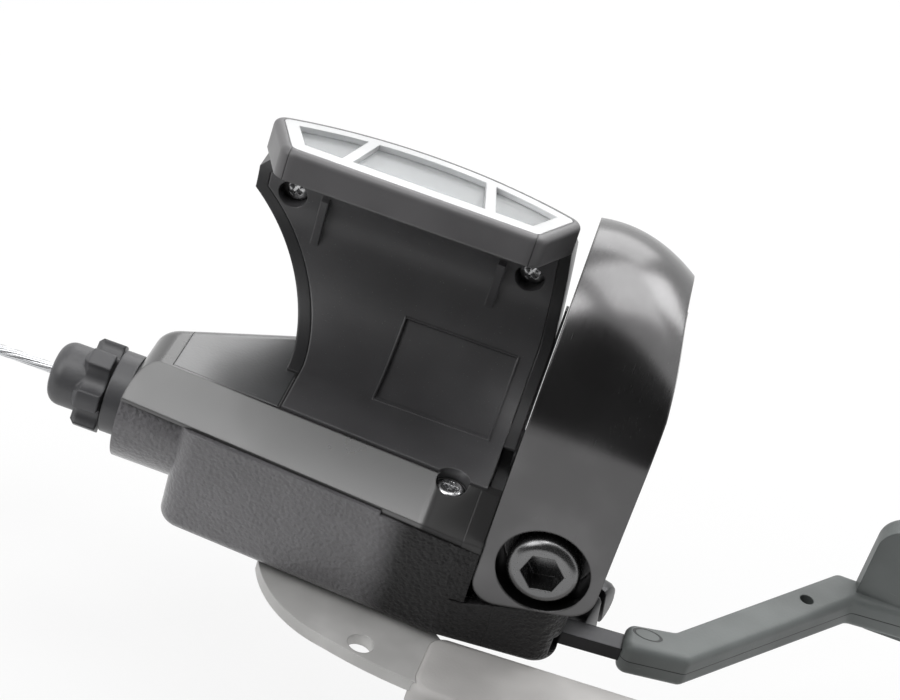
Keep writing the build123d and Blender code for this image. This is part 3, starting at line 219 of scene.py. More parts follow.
class Surface(Graph):
    """The node tree of one material, with a Principled surface."""

    def __init__(self, name: str) -> None:
        """Start an empty material."""
        self.material = bpy.data.materials.new(name)
        self.material.use_nodes = True
        super().__init__(self.material.node_tree)
        self.surface = self.tree.nodes["Principled BSDF"]

    def set(self, **values: Term) -> None:
        """Feed the surface's sockets, named with underscores for spaces."""
        for key, value in values.items():
            self.feed(self.surface.inputs[key.replace("_", " ")], value)

    def place(self) -> Socket:
        """Return the Object coordinates, in metres."""
        return self.node("ShaderNodeTexCoord", output="Object")

    def along(self, axis: int) -> Socket:
        """Return one of the Object coordinates: 0, 1 or 2 for X, Y or Z."""
        return self.node("ShaderNodeSeparateXYZ", None, {0: self.place()}, output=axis)

    def stretched(self, scale: tuple[float, float, float]) -> Socket:
        """Return the Object coordinates, scaled along each axis."""
        return self.node("ShaderNodeMapping", None, {"Vector": self.place(), "Scale": scale})

    def noise(self, scale: Number, detail: Number = 2.0, vector: Socket | None = None) -> Socket:
        """Return a noise value.

        Args:
            scale: Its frequency, per metre.
            detail: The number of octaves.
            vector: The coordinates, if not the plain Object ones.

        Returns:
            The noise, from 0 to 1.
        """
        inputs = {"Vector": vector or self.place(), "Scale": scale, "Detail": detail}
        return self.node("ShaderNodeTexNoise", None, inputs)

    def cells(self, scale: Number) -> Socket:
        """Return a soft Voronoi distance at a frequency per metre."""
        inputs = {"Vector": self.place(), "Scale": scale}
        return self.node("ShaderNodeTexVoronoi", {"feature": "SMOOTH_F1"}, inputs, output="Distance")

    def blend(self, factor: Term, low: Term, high: Term) -> Socket:
        """Mix two colours.

        Args:
            factor: 0 for the first colour, 1 for the second.
            low: The first colour.
            high: The second colour.

        Returns:
            The mixed colour.
        """
        inputs = {0: factor, 6: low, 7: high}
        return self.node("ShaderNodeMix", {"data_type": "RGBA"}, inputs, output=2)

    def relief(self, height: Socket, depth: Number, strength: Number, edge: Number) -> None:
        """Give the surface a bump over slightly rounded edges.

        Args:
            height: The height, from 0 to 1.
            depth: The depth of the relief, in metres.
            strength: The share of the relief that shows.
            edge: The radius of the edges, in metres.
        """
        rounded = self.node("ShaderNodeBevel", {"samples": 6}, {"Radius": edge})
        inputs = {"Strength": strength, "Distance": depth, "Height": height, "Normal": rounded}
        self.set(Normal=self.node("ShaderNodeBump", None, inputs))


@dataclass(frozen=True)
class Seam:
    """A fine parting line at one place along an axis, on the faces that look at the rider."""

    place: float
    front_y: float
    axis: int = 0
    width: float = 0.09 * MM

    def line(self, g: Surface) -> Socket:
        """Return 1 on the line, and 0 elsewhere.

        Args:
            g: The material's graph.

        Returns:
            The line.
        """
        near = 1.0 - abs(g.along(self.axis) - self.place).ramp(0.3 * self.width, self.width)
        return near * (self.front_y - g.along(1)).above(0.0)


@dataclass(frozen=True)
class OvalMark:
    """A small oval ring in the top of a moulding, where its tool had an ejector pin."""

    centre: tuple[float, float]
    radii: tuple[float, float]
    top_z: float
    width: float = 0.16

    def line(self, g: Surface) -> Socket:
        """Return 1 on the ring, and 0 elsewhere.

        Args:
            g: The material's graph.

        Returns:
            The ring.
        """
        across = (g.along(0) - self.centre[0]) / self.radii[0]
        deep = (g.along(1) - self.centre[1]) / self.radii[1]
        reach = (across * across + deep * deep) ** 0.5
        near = 1.0 - abs(reach - 1.0).ramp(0.4 * self.width, self.width)
        return near * g.along(2).above(self.top_z)


@dataclass(frozen=True)
class MouldedPlastic:
    """Moulded plastic, with the texture of its tool, its parting lines and a little handling shine.

    A fold is a place along X past which the surface falls away, and its slope there. A lean is the slope
    of the whole surface. A painted shade is the two places along X between which the colour darkens to
    painted shade and the coat ends, and the shade colour it changes to.
    """

    name: str
    colour: Colour
    roughness: float
    grain: Grain = Grain.SPARK_ERODED
    grain_size: float = 0.35 * MM
    grain_depth: float = 0.02 * MM
    edge: float = 0.25 * MM
    specular: float = 0.3
    seams: tuple[Seam | OvalMark, ...] = ()
    dust: float = 0.0
    scuffs: float = 0.0
    fold: tuple[float, float] | None = None
    coat: float = 0.0
    lean: float = 0.0
    painted_shade: tuple[float, float, Colour] | None = None

    mottle_size: ClassVar[float] = 14 * MM
    dark_share: ClassVar[float] = 0.82
    pale_share: ClassVar[float] = 1.22
    pale_lift: ClassVar[float] = 0.001
    speck_size: ClassVar[float] = 0.13 * MM
    speck_colour: ClassVar[Colour] = (0.45, 0.45, 0.45)
    scratch_size: ClassVar[float] = 0.8 * MM
    scratch_stretch: ClassVar[tuple[float, float, float]] = (0.5, 2.5, 1.5)
    scratch_colour: ClassVar[Colour] = (0.3, 0.3, 0.29)
    patch_size: ClassVar[float] = 6 * MM
    seam_depth: ClassVar[float] = 3.0
    seam_shade: ClassVar[float] = 0.8
    seam_colour: ClassVar[Colour] = (0.002, 0.002, 0.002)
    shine_size: ClassVar[float] = 5 * MM
    shine_spread: ClassVar[float] = 0.16
    fold_edge: ClassVar[float] = 0.3 * MM
    fold_roughness: ClassVar[float] = 0.3
    coat_roughness: ClassVar[float] = 0.25
    relief_share: ClassVar[float] = 0.6
    polish_wave: ClassVar[float] = 3 * MM
    cell_share: ClassVar[float] = 0.8
    pore_rate: ClassVar[float] = 2.2
    pore_share: ClassVar[float] = 0.4

    def _texture(self, g: Surface) -> Socket:
        """Return the height of the tool's texture.

        Args:
            g: The material's graph.

        Returns:
            The height, about 0 to 1.
        """
        if self.grain is Grain.LEATHER:
            pores = g.noise(self.pore_rate / self.grain_size, 2.0)
            return g.cells(1 / self.grain_size) * self.cell_share + pores * self.pore_share
        if self.grain is Grain.SPARK_ERODED:
            return g.noise(1 / self.grain_size, 3.0)
        return g.noise(1 / self.polish_wave, 1.0)

    def _worn_colour(self, g: Surface) -> Socket:
        """Return the colour, with its mottle, dust and scuffs.

        Args:
            g: The material's graph.

        Returns:
            The colour.
        """
        mottle = g.noise(1 / self.mottle_size, 3.0)
        dark = tuple(self.dark_share * c for c in self.colour)
        pale = tuple(self.pale_share * c + self.pale_lift for c in self.colour)
        colour = g.blend(mottle.ramp(0.3, 0.7), dark, pale)
        if self.dust:
            specks = g.noise(1 / self.speck_size, 0.0).ramp(0.8, 0.86)
            colour = g.blend(specks * self.dust, colour, self.speck_colour)
        if self.scuffs:
            drawn = g.stretched(self.scratch_stretch)
            scratch = g.noise(1 / self.scratch_size, 3.0, drawn).ramp(0.66, 0.76)
            patch = g.noise(1 / self.patch_size, 2.0).ramp(0.5, 0.65)
            colour = g.blend(scratch * patch * self.scuffs, colour, self.scratch_colour)
        return colour

    def make(self) -> bpy.types.Material:
        """Return the material."""
        g = Surface(self.name)
        height = self._texture(g)
        colour = self._worn_colour(g)
        for seam in self.seams:
            line = seam.line(g)
            height = height - line * self.seam_depth
            colour = g.blend(line * self.seam_shade, colour, self.seam_colour)
        shine = g.noise(1 / self.shine_size, 4.0)
        roughness = self.roughness + (shine - 0.5) * self.shine_spread
        coat: Term = self.coat
        # Painted shade: between the two places along X the colour darkens to the shade colour and the coat
        # ends.
        if self.painted_shade:
            start, end, shade_colour = self.painted_shade
            far = g.along(0).ramp(start, end)
            colour = g.blend(far, colour, shade_colour)
            coat = self.coat * (1.0 - far)
        if self.fold:
            start, fall = self.fold
            past = g.along(0) - start
            beyond = past.ramp(-self.fold_edge, self.fold_edge)
            bend = past * past.ramp(-2 * self.fold_edge, 2 * self.fold_edge)
            height = height - bend * (fall / self.grain_depth)
            roughness = roughness + beyond * self.fold_roughness
            coat = self.coat * (1.0 - beyond)
        if self.lean:
            height = height + g.along(1) * (self.lean / self.grain_depth)
        g.set(
            Base_Color=colour,
            Roughness=roughness,
            Specular_IOR_Level=self.specular,
            Coat_Weight=coat,
            Coat_Roughness=self.coat_roughness,
        )
        g.relief(height, self.grain_depth, self.relief_share, self.edge)
        return g.material


@dataclass(frozen=True)
class SatinMetal:
    """Metal with a fine drawn grain, bare, plated or anodised."""

    name: str
    colour: Colour
    roughness: float
    metallic: float = 1.0
    draw: tuple[float, float, float] = (1.0, 1.0, 12.0)
    grain_size: float = 0.6 * MM
    grain_depth: float = 0.004 * MM
    edge: float = 0.2 * MM
    specular: float = 0.4

    cloud_size: ClassVar[float] = 9 * MM
    dark_share: ClassVar[float] = 0.86
    pale_share: ClassVar[float] = 1.1
    streak_spread: ClassVar[float] = 0.14
    cloud_spread: ClassVar[float] = 0.08
    relief_share: ClassVar[float] = 0.5

    def make(self) -> bpy.types.Material:
        """Return the material."""
        g = Surface(self.name)
        streaks = g.noise(1 / self.grain_size, 3.0, g.stretched(self.draw))
        clouds = g.noise(1 / self.cloud_size, 3.0)
        dark = tuple(self.dark_share * c for c in self.colour)
        pale = tuple(min(1.0, self.pale_share * c) for c in self.colour)
        drawn = (streaks - 0.5) * self.streak_spread
        g.set(
            Base_Color=g.blend(clouds.ramp(0.35, 0.7), dark, pale),
            Roughness=self.roughness + drawn + (clouds - 0.5) * self.cloud_spread,
            Metallic=self.metallic,
            Specular_IOR_Level=self.specular,
        )
        g.relief(streaks, self.grain_depth, self.relief_share, self.edge)
        return g.material


@dataclass(frozen=True)
class ClearWindow:
    """Clear moulded window, with a faint haze."""

    name: str
    colour: Colour
    roughness: float
    haze_size: float = 4 * MM
    haze_spread: float = 0.12
    clearness: float = 0.75
    refraction: float = 1.49

    def make(self) -> bpy.types.Material:
        """Return the material."""
        g = Surface(self.name)
        haze = g.noise(1 / self.haze_size, 3.0)
        g.set(
            Base_Color=self.colour,
            Roughness=self.roughness + haze * self.haze_spread,
            Transmission_Weight=self.clearness,
            IOR=self.refraction,
        )
        return g.material


@dataclass(frozen=True)
class StrandedWire:
    """Bright steel wire, twisted from thin strands that follow the cable's length, with painted shade in
    the grooves between the strands.
    """

    name: str
    colour: Colour
    lay_length: float
    strands: int
    length: float
    roughness: float = 0.42
    ridge_shine: float = 0.12
    groove_shade_share: float = 0.45
    groove_depth: float = 0.06 * MM
    relief_share: float = 0.6

    def make(self) -> bpy.types.Material:
        """Return the material."""
        g = Surface(self.name)
        uv = g.node("ShaderNodeTexCoord", output="UV")
        u = g.node("ShaderNodeSeparateXYZ", None, {0: uv}, output=0)
        v = g.node("ShaderNodeSeparateXYZ", None, {0: uv}, output=1)
        twist = (u * (self.length / self.lay_length) + v) * (2 * math.pi * self.strands)
        ridge = twist.sine() * 0.5 + 0.5
        # Painted shade: the grooves between the strands are coloured darker than the ridges.
        groove_shade = tuple(self.groove_shade_share * c for c in self.colour)
        inputs = {"Strength": self.relief_share, "Distance": self.groove_depth, "Height": ridge}
        g.set(
            Base_Color=g.blend(ridge.ramp(0.0, 0.5), groove_shade, self.colour),
            Roughness=self.roughness - ridge * self.ridge_shine,
            Metallic=1.0,
            Normal=g.node("ShaderNodeBump", None, inputs),
        )
        return g.material


def dress(material: bpy.types.Material, *nodes: str) -> None:
    """Give CAD nodes a material.

    Args:
        material: The finished material.
        nodes: The nodes' names.
    """
    for name in nodes:
        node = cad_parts[name]
        node.data.materials.clear()
        node.data.materials.append(material)
        LOG.info("dressed %s with %s", name, material.name)


def prism(outline: Sequence[tuple[float, float]], axis: int, start: float, end: float) -> bmesh.types.BMesh:
    """Make a straight prism.

    Args:
        outline: The section's corners, in the other two axes, in the order X, Y, Z.
        axis: The axis it runs along: 0, 1 or 2 for X, Y or Z.
        start: Where it starts, in metres.
        end: Where it ends, in metres.

    Returns:
        The prism.
    """
    shape = bmesh.new()
    corners = []
    for first, second in outline:
        place = [first, second]
        place.insert(axis, start)
        corners.append(shape.verts.new(place))
    face = shape.faces.new(corners)
    grown = bmesh.ops.extrude_face_region(shape, geom=[face])
    step = [0.0, 0.0, 0.0]
    step[axis] = end - start
    moved = [part for part in grown["geom"] if isinstance(part, bmesh.types.BMVert)]
    bmesh.ops.translate(shape, verts=moved, vec=step)
    bmesh.ops.recalc_face_normals(shape, faces=shape.faces)
    return shape


def ring_strip(
    left: float, right: float, inner: float, outer: float, angles: tuple[float, float]
) -> bmesh.types.BMesh:
    """Make a strip that bends round the handlebar.

    Args:
        left: Its inboard side, in metres.
        right: Its outboard side.
        inner: Its inner radius.
        outer: Its outer radius.
        angles: Where it starts and ends, in degrees from +Y towards +Z.

    Returns:
        The strip.
    """
    shape = bmesh.new()
    start = math.radians(angles[0])
    corners = [(left, inner), (right, inner), (right, outer), (left, outer)]
    verts = [shape.verts.new((x, r * math.cos(start), r * math.sin(start))) for x, r in corners]
    face = shape.faces.new(verts)
    bmesh.ops.spin(
        shape,
        geom=[face, *face.edges, *verts],
        cent=(0.0, 0.0, 0.0),
        axis=(1.0, 0.0, 0.0),
        dvec=(0.0, 0.0, 0.0),
        angle=math.radians(angles[1] - angles[0]),
        steps=ROUND_STEPS,
        use_duplicate=False,
    )
    bmesh.ops.recalc_face_normals(shape, faces=shape.faces)
    return shape


def turned(profile: Sequence[tuple[float, float]], origin: Vector, along: Vector) -> bmesh.types.BMesh:
    """Turn a profile into a closed round shape.

    Args:
        profile: Distances along the axis and radii, from one end of the axis to the other.
        origin: A point on the axis, from which the distances are measured.
        along: The axis.

    Returns:
        The shape.
    """
    shape = bmesh.new()
    across = along.orthogonal().normalized()
    verts = [shape.verts.new(origin + along * far + across * radius) for far, radius in profile]
    edges = [shape.edges.new(pair) for pair in zip(verts, verts[1:])]
    bmesh.ops.spin(
        shape,
        geom=[*verts, *edges],
        cent=origin,
        axis=along,
        angle=2 * math.pi,
        steps=ROUND_STEPS,
        use_merge=True,
    )
    bmesh.ops.remove_doubles(shape, verts=shape.verts, dist=WELD)
    bmesh.ops.recalc_face_normals(shape, faces=shape.faces)
    return shape


def slab(centre: Vector, axes: Matrix, sizes: tuple[float, float, float]) -> bmesh.types.BMesh:
    """Make a block.

    Args:
        centre: Its middle.
        axes: Its turned axes.
        sizes: Its three sizes, along those axes.

    Returns:
        The block.
    """
    shape = bmesh.new()
    place = Matrix.Translation(centre) @ axes.to_4x4() @ Matrix.Diagonal((*sizes, 1.0))
    bmesh.ops.create_cube(shape, size=1.0, matrix=place)
    return shape


def carve(shape: bmesh.types.BMesh, *cutters: bmesh.types.BMesh) -> bmesh.types.BMesh:
    """Cut shapes out of another.

    Args:
        shape: The shape that is cut, which is used up.
        cutters: The shapes that are taken away, which are used up.

    Returns:
        What is left.
    """
    holders = []
    for part in (shape, *cutters):
        mesh = bpy.data.meshes.new("carving")
        part.to_mesh(mesh)
        part.free()
        holder = bpy.data.objects.new("carving", mesh)
        bpy.context.scene.collection.objects.link(holder)
        holders.append(holder)
    for cutter in holders[1:]:
        cut = holders[0].modifiers.new("cut", "BOOLEAN")
        cut.object = cutter
        cut.solver = "EXACT"
    left = bmesh.new()
    left.from_object(holders[0], bpy.context.evaluated_depsgraph_get())
    for holder in holders:
        bpy.data.meshes.remove(holder.data)
    return left


def finish_piece(
    name: str,
    mesh: bpy.types.Mesh,
    material: bpy.types.Material,
    stands_for: str = "",
) -> None:
    """Add a finished mesh to the shifter's body.

    Args:
        name: The piece's name.
        mesh: Its mesh.
        material: Its finish.
        stands_for: The node that it replaces, if it does.
    """
    mesh.materials.clear()
    mesh.materials.append(material)
    piece = bpy.data.objects.new(name, mesh)
    bpy.context.scene.collection.objects.link(piece)
    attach(piece, SHIFTER_BODY)
    if stands_for:
        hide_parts(stands_for)
    LOG.info("added %s", name)


def add_piece(
    name: str,
    shape: bmesh.types.BMesh,
    material: bpy.types.Material,
    stands_for: str = "",
    smooth: float = 0.0,
) -> None:
    """Add a modelled shape to the shifter's body.

    Args:
        name: The piece's name.
        shape: Its shape, which is used up.
        material: Its finish.
        stands_for: The node that it replaces, if it does.
        smooth: The edges up to this angle, in degrees, are shaded smooth.
    """
    mesh = bpy.data.meshes.new(name)
    shape.to_mesh(mesh)
    shape.free()
    if smooth:
        mesh.shade_smooth()
        mesh.set_sharp_from_angle(angle=math.radians(smooth))
    finish_piece(name, mesh, material, stands_for)


@dataclass
class ClampAssembly:
    """The split band round the handlebar, and its bolt."""

    band: SatinMetal = SatinMetal(
        "satin_black_anodised", (0.135, 0.1335, 0.135), 0.24, 0.95, (9.0, 0.5, 0.5), edge=0.35 * MM
    )
    bolt: SatinMetal = SatinMetal("black_oxide_bolt", (0.19, 0.19, 0.192), 0.26, 0.95, (3.0, 1.0, 3.0))
    bore: float = 11.1 * MM
    wall: float = 0.4 * MM
    front: float = 14.5 * MM
    crown: float = 16.0 * MM
    crown_x: float = -3.6 * MM
    crown_fall: float = 0.038 / MM
    blend_height: float = 6 * MM
    outward: float = 0.55
    back_edge: float = 4.8 * MM
    merge: float = 0.0001 * MM

    def build(self) -> None:
        """Make the band, with the crown drawn smooth to its edge, and dress the bolt."""
        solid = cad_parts["clamp_band"].data
        normals = [Vector(corner.vector) for corner in solid.corner_normals]
        shape = bmesh.new()
        shape.from_mesh(solid)
        bmesh.ops.remove_doubles(shape, verts=shape.verts, dist=self.merge)
        mesh = bpy.data.meshes.new("clamp_band_loop")
        shape.to_mesh(mesh)
        shape.free()
        moved = self._raise_crown(mesh)
        if len(normals) == len(mesh.loops):
            self._follow_crown(mesh, moved, normals)
        finish = self.band.make()
        finish_piece("clamp_band_loop", mesh, finish, "clamp_band")
        dress(self.bolt.make(), "clamp_bolt")

    def _raise_crown(self, mesh: bpy.types.Mesh) -> set[int]:
        """Move the band's outside onto the smooth crown, and trim the edge at the back.

        Args:
            mesh: The band's mesh.

        Returns:
            The vertices on the crown.
        """
        moved = set()
        for vert in mesh.vertices:
            if vert.co.z > 0 and vert.co.y > 0:
                vert.co.x = min(vert.co.x, self.back_edge)
            if vert.co.z > 0 and vert.co.yz.length > self.bore + self.wall:
                vert.co.yz = self._crowned(vert.co)
                moved.add(vert.index)
        return moved

    def _follow_crown(self, mesh: bpy.types.Mesh, moved: set[int], normals: list[Vector]) -> None:
        """Shade the crown by its own slope, and the rest as the solid is shaded.

        Args:
            mesh: The band's mesh.
            moved: The vertices on the crown.
            normals: The solid's normal at each corner, which is changed on the crown.
        """
        for index, loop in enumerate(mesh.loops):
            place = mesh.vertices[loop.vertex_index].co
            facing = normals[index].yz.dot(place.yz.normalized())
            if loop.vertex_index in moved and facing > self.outward:
                normals[index] = self._slope(place)
        mesh.normals_split_custom_set(normals)

    def _height(self, x: float) -> float:
        """Return the crown's height at a place along the bar."""
        return self.crown - self.crown_fall * (x - self.crown_x) ** 2

    def _share(self, place: Vector) -> float:
        """Return how far a point follows the smooth crown, which fades out low on the back."""
        rise = min(1.0, place.z / self.blend_height) if place.y > 0 else 1.0
        return rise * rise * (3.0 - 2.0 * rise)

    def _crowned(self, place: Vector) -> Vector:
        """Return where a point of the band's outside lies on the smooth crown.

        Args:
            place: The point.

        Returns:
            Its new Y and Z.
        """
        height = self._height(place.x)
        depth = height if place.y > 0 else self.front
        reach = 1.0 / math.hypot(place.y / depth, place.z / height)
        return place.yz.lerp(place.yz * reach, self._share(place))

    def _slope(self, place: Vector) -> Vector:
        """Return the smooth crown's normal at a point.

        Args:
            place: The point, on the crown.

        Returns:
            The normal.
        """
        height = self._height(place.x)
        fall = 2.0 * self.crown_fall * (place.x - self.crown_x)
        depth = height if place.y > 0 else self.front
        across = self._share(place) * fall * (place.z / height) ** 2 / height
        if place.y > 0:
            across = self._share(place) * fall / height
        return Vector((across, place.y / depth**2, place.z / height**2)).normalized()


@dataclass
class Housing:
    """The covers round the mechanism, and what closes them."""

    # The pale base colour stands in for the light on the inboard end, and the painted shade darkens the
    # outboard end as if it were turned from the light.
    lower: MouldedPlastic = MouldedPlastic(
        "leather_grained_black",
        (0.14, 0.137, 0.144),
        0.4,
        Grain.LEATHER,
        0.42 * MM,
        0.5 * MM,
        0.3 * MM,
        0.4,
        (Seam(-3.1 * MM, -10 * MM),),
        coat=0.9,
        painted_shade=(-18 * MM, -13.5 * MM, (0.012, 0.0115, 0.012)),
    )
    upper: MouldedPlastic = MouldedPlastic(
        "polished_black",
        (0.011, 0.0105, 0.0105),
        0.3,
        Grain.POLISHED,
        grain_depth=0.01 * MM,
        specular=1.0,
        coat=1.0,
        fold=(-12.9 * MM, 0.8),
        lean=0.28,
    )
    panel: MouldedPlastic = MouldedPlastic(
        "satin_black_panel",
        (0.084, 0.0855, 0.088),
        0.36,
        grain_depth=0.03 * MM,
        specular=1.0,
        coat=0.6,
        scuffs=0.4,
    )
    screw: SatinMetal = SatinMetal("zinc_plate", (0.66, 0.66, 0.67), 0.26)
    plug: SatinMetal = SatinMetal("black_plug", (0.05, 0.05, 0.052), 0.36, 0.7)
    plug_seat: tuple[float, float, float] = (4.6 * MM, -3.5 * MM, -24.6 * MM)
    plug_turn: float = 22.0
    plug_radius: float = 3.1 * MM
    plug_neck: float = 2.4 * MM
    plug_height: float = 3.7 * MM
    plug_rim: float = 0.7 * MM
    plug_round: float = 0.3
    plug_root: float = 1.2 * MM
    plug_stand: float = 1.3 * MM
    slot_width: float = 0.9 * MM
    slot_depth: float = 0.9 * MM
    slot_turn: float = 20.0
    plate: SatinMetal = SatinMetal("dark_plated_steel", (0.09, 0.09, 0.092), 0.3, 0.9)
    end_left: float = -8.4 * MM
    end_right: float = -6.26 * MM
    end_back: float = -12.5 * MM
    lower_end_front: tuple[float, float] = (-15.22 * MM, -14.96 * MM)
    lower_end_z: tuple[float, float] = (-22.0 * MM, -15.55 * MM)
    upper_end_section: tuple[tuple[float, float], ...] = (
        (-15.0 * MM, -15.5 * MM),
        (-15.0 * MM, -14.66 * MM),
        (-8.87 * MM, -12.26 * MM),
        (-7.6 * MM, -12.26 * MM),
        (-7.6 * MM, -15.5 * MM),
    )

    def build(self) -> None:
        """Dress the covers, the plug, the base plate and the screws."""
        dress(self.plate.make(), "base_plate")
        grained = self.lower.make()
        polished = self.upper.make()
        dress(grained, "lower_cover")
        dress(polished, "upper_cover")
        dress(self.panel.make(), "top_panel")
        self._ends(grained, polished)
        dress(
            self.screw.make(),
            "cover_screw",
            "bracket_screw",
            "main_axle",
            "axle_washer",
            "axle_nut",
            "cable_nipple",
            "holding_pin",
            "release_pin",
        )
        self._plug(self.plug.make())

    def _plug(self, finish: bpy.types.Material) -> None:
        """Make the slotted plug over the hole for the cable's nipple.

        Args:
            finish: The plug's finish.
        """
        turn = Matrix.Rotation(-math.radians(self.plug_turn), 3, "Z")
        along = turn @ Vector((1.0, 0.0, 0.0))
        seat = Vector(self.plug_seat)
        top, radius, rim = self.plug_height, self.plug_radius, self.plug_rim
        profile = [
            (-self.plug_root, 0.0),
            (-self.plug_root, self.plug_neck),
            (self.plug_stand, self.plug_neck),
            (self.plug_stand, radius),
            (top - rim, radius),
            (top - self.plug_round * rim, radius - self.plug_round * rim),
            (top, radius - rim),
            (top, 0.0),
        ]
        axes = turn @ Matrix.Rotation(math.radians(self.slot_turn), 3, "X")
        slot = slab(seat + along * top, axes, (2 * self.slot_depth, self.slot_width, 3 * radius))
        plug = carve(turned(profile, seat, along), slot)
        add_piece("cable_hole_cap", plug, finish, "cable_hole_plug", SMOOTH_ANGLE)

    def _ends(self, grained: bpy.types.Material, polished: bpy.types.Material) -> None:
        """Add the covers' end walls, which close the step beside the clamp.

        Args:
            grained: The lower cover's finish.
            polished: The upper cover's finish.
        """
        left, right = self.end_left, self.end_right
        front_left, front_right = self.lower_end_front
        plan = [(left, front_left), (right, front_right), (right, self.end_back), (left, self.end_back)]
        add_piece("lower_cover_end", prism(plan, 2, *self.lower_end_z), grained)
        strip = prism(self.upper_end_section, 0, left, right)
        add_piece("upper_cover_end", strip, polished)


@dataclass
class Saddle:
    """The curved liner under the bar, and the cover behind it."""

    liner: MouldedPlastic = MouldedPlastic(
        "satin_black_liner", (0.08, 0.0788, 0.0822), 0.42, specular=0.8, dust=0.3, coat=0.4
    )
    cover: MouldedPlastic = MouldedPlastic("satin_black_cover", (0.042, 0.0417, 0.0434), 0.38, specular=0.6)
    screw: SatinMetal = SatinMetal("bright_screw", (0.7, 0.7, 0.71), 0.2)
    screws: tuple[str, ...] = ("saddle_screw_inboard", "saddle_screw_outboard")
    seat_depth: float = 1.1 * MM
    head_height: float = 0.75 * MM
    head_rim: float = 0.2 * MM
    shank: float = 0.85 * MM
    drive_length: float = 1.6 * MM
    drive_width: float = 0.42 * MM
    drive_depth: float = 0.5 * MM
    drive_turns: tuple[float, float] = (30.0, 120.0)
    dome_steps: int = 8
    frame_radii: tuple[float, float] = (11.86 * MM, 12.3 * MM)
    bead_sides: tuple[float, float] = (-6.52 * MM, -6.24 * MM)
    bead_radii: tuple[float, float] = (12.2 * MM, 13.6 * MM)
    bead_angles: tuple[float, float] = (-94.0, -4.0)
    panel_frame: tuple[tuple[str, float, float, float, float], ...] = (
        ("inboard", -22.85, -22.6, -90.0, -35.0),
        ("outboard", -9.7, -9.45, -90.0, -35.0),
        ("top", -22.85, -9.45, -36.1, -35.0),
        ("bottom", -22.85, -9.45, -91.0, -89.9),
    )

    def build(self) -> None:
        """Dress the liner and the rear cover, and add the screws, the panel's frame and the bead."""
        liner = self.liner.make()
        dress(liner, "saddle_plate")
        cover = self.cover.make()
        dress(cover, "rear_cover")
        bright = self.screw.make()
        for name in self.screws:
            self._domed_screw(name, bright)
        for name, left, right, low, high in self.panel_frame:
            ridge = ring_strip(left * MM, right * MM, *self.frame_radii, (low, high))
            add_piece(f"panel_frame_{name}", ridge, liner)
        bead = ring_strip(*self.bead_sides, *self.bead_radii, self.bead_angles)
        add_piece("rear_cover_bead", bead, cover)

    def _domed_screw(self, name: str, finish: bpy.types.Material) -> None:
        """Make one of the liner's screws, with a domed head and a cross recess.

        Args:
            name: The node that it stands for.
            finish: The screw's finish.
        """
        low, high = (Vector(corner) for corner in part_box(name))
        radius = (high.x - low.x) / 2
        seat = Vector(((low.x + high.x) / 2, low.y + self.seat_depth, (low.z + high.z) / 2))
        along = Vector((0.0, -1.0, 0.0))
        bulge = self.head_height - self.head_rim
        tip = seat.y - high.y
        profile = [(tip, 0.0), (tip, self.shank), (0.0, self.shank), (0.0, radius)]
        for step in range(self.dome_steps):
            rise = step * math.pi / (2 * self.dome_steps)
            profile.append((self.head_rim + bulge * math.sin(rise), radius * math.cos(rise)))
        profile.append((self.head_height, 0.0))
        drive = [
            slab(
                seat + along * self.head_height,
                Matrix.Rotation(math.radians(turn), 3, "Y"),
                (self.drive_length, 2 * self.drive_depth, self.drive_width),
            )
            for turn in self.drive_turns
        ]
        screw = carve(turned(profile, seat, along), *drive)
        add_piece(f"{name}_domed", screw, finish, name, SMOOTH_ANGLE)


@dataclass
class GearDisplay:
    """The display on top: housing, dial, pointer, window and trim."""

    shell: MouldedPlastic = MouldedPlastic(
        "satin_black_shell",
        (0.118, 0.1155, 0.119),
        0.4,
        edge=0.4 * MM,
        specular=0.7,
        seams=(Seam(-37.0 * MM, -2 * MM), Seam(-11.4 * MM, -2 * MM)),
    )
    trim: SatinMetal = SatinMetal("silver_paint", (0.74, 0.745, 0.75), 0.32, 0.35, (1.0, 1.0, 1.0))
    window: ClearWindow = ClearWindow("clear_window", (0.86, 0.88, 0.89), 0.12)
    dial: MouldedPlastic = MouldedPlastic("pale_dial", (0.84, 0.845, 0.85), 0.5)
    pointer: MouldedPlastic = MouldedPlastic("pale_pointer", (0.6, 0.6, 0.58), 0.5)

    def build(self) -> None:
        """Dress the display's pieces."""
        dress(self.shell.make(), "display_housing")
        dress(self.trim.make(), "display_frame")
        dress(self.window.make(), "display_lens")
        dress(self.dial.make(), "display_dial")
        dress(self.pointer.make(), "display_pointer")


@dataclass
class Levers:
    """The thumb lever under the housing and the finger lever beside it."""

    plate: SatinMetal = SatinMetal(
        "grey_satin_plate", (0.62, 0.614, 0.602), 0.42, 0.2, (1.0, 8.0, 1.0)
    )
    cap: MouldedPlastic = MouldedPlastic(
        "warm_grey_cap", (0.56, 0.547, 0.535), 0.5, grain_depth=0.03 * MM
    )
    arm: SatinMetal = SatinMetal("black_arm", (0.04, 0.04, 0.042), 0.36, 0.8)
    sleeve: MouldedPlastic = MouldedPlastic(
        "dark_green_grey_sleeve",
        (0.145, 0.157, 0.154),
        0.46,
        grain_depth=0.03 * MM,
        seams=(
            Seam(-25.2 * MM, 20 * MM, 2),
            OvalMark((13.3 * MM, -7.9 * MM), (1.5 * MM, 0.8 * MM), -23.6 * MM),
        ),
        scuffs=0.5,
    )

    def build(self) -> None:
        """Dress both levers."""
        dress(self.plate.make(), "main_lever_plate")
        dress(self.cap.make(), "main_lever_cap")
        dress(self.arm.make(), "release_arm")
        dress(self.sleeve.make(), "release_sleeve")


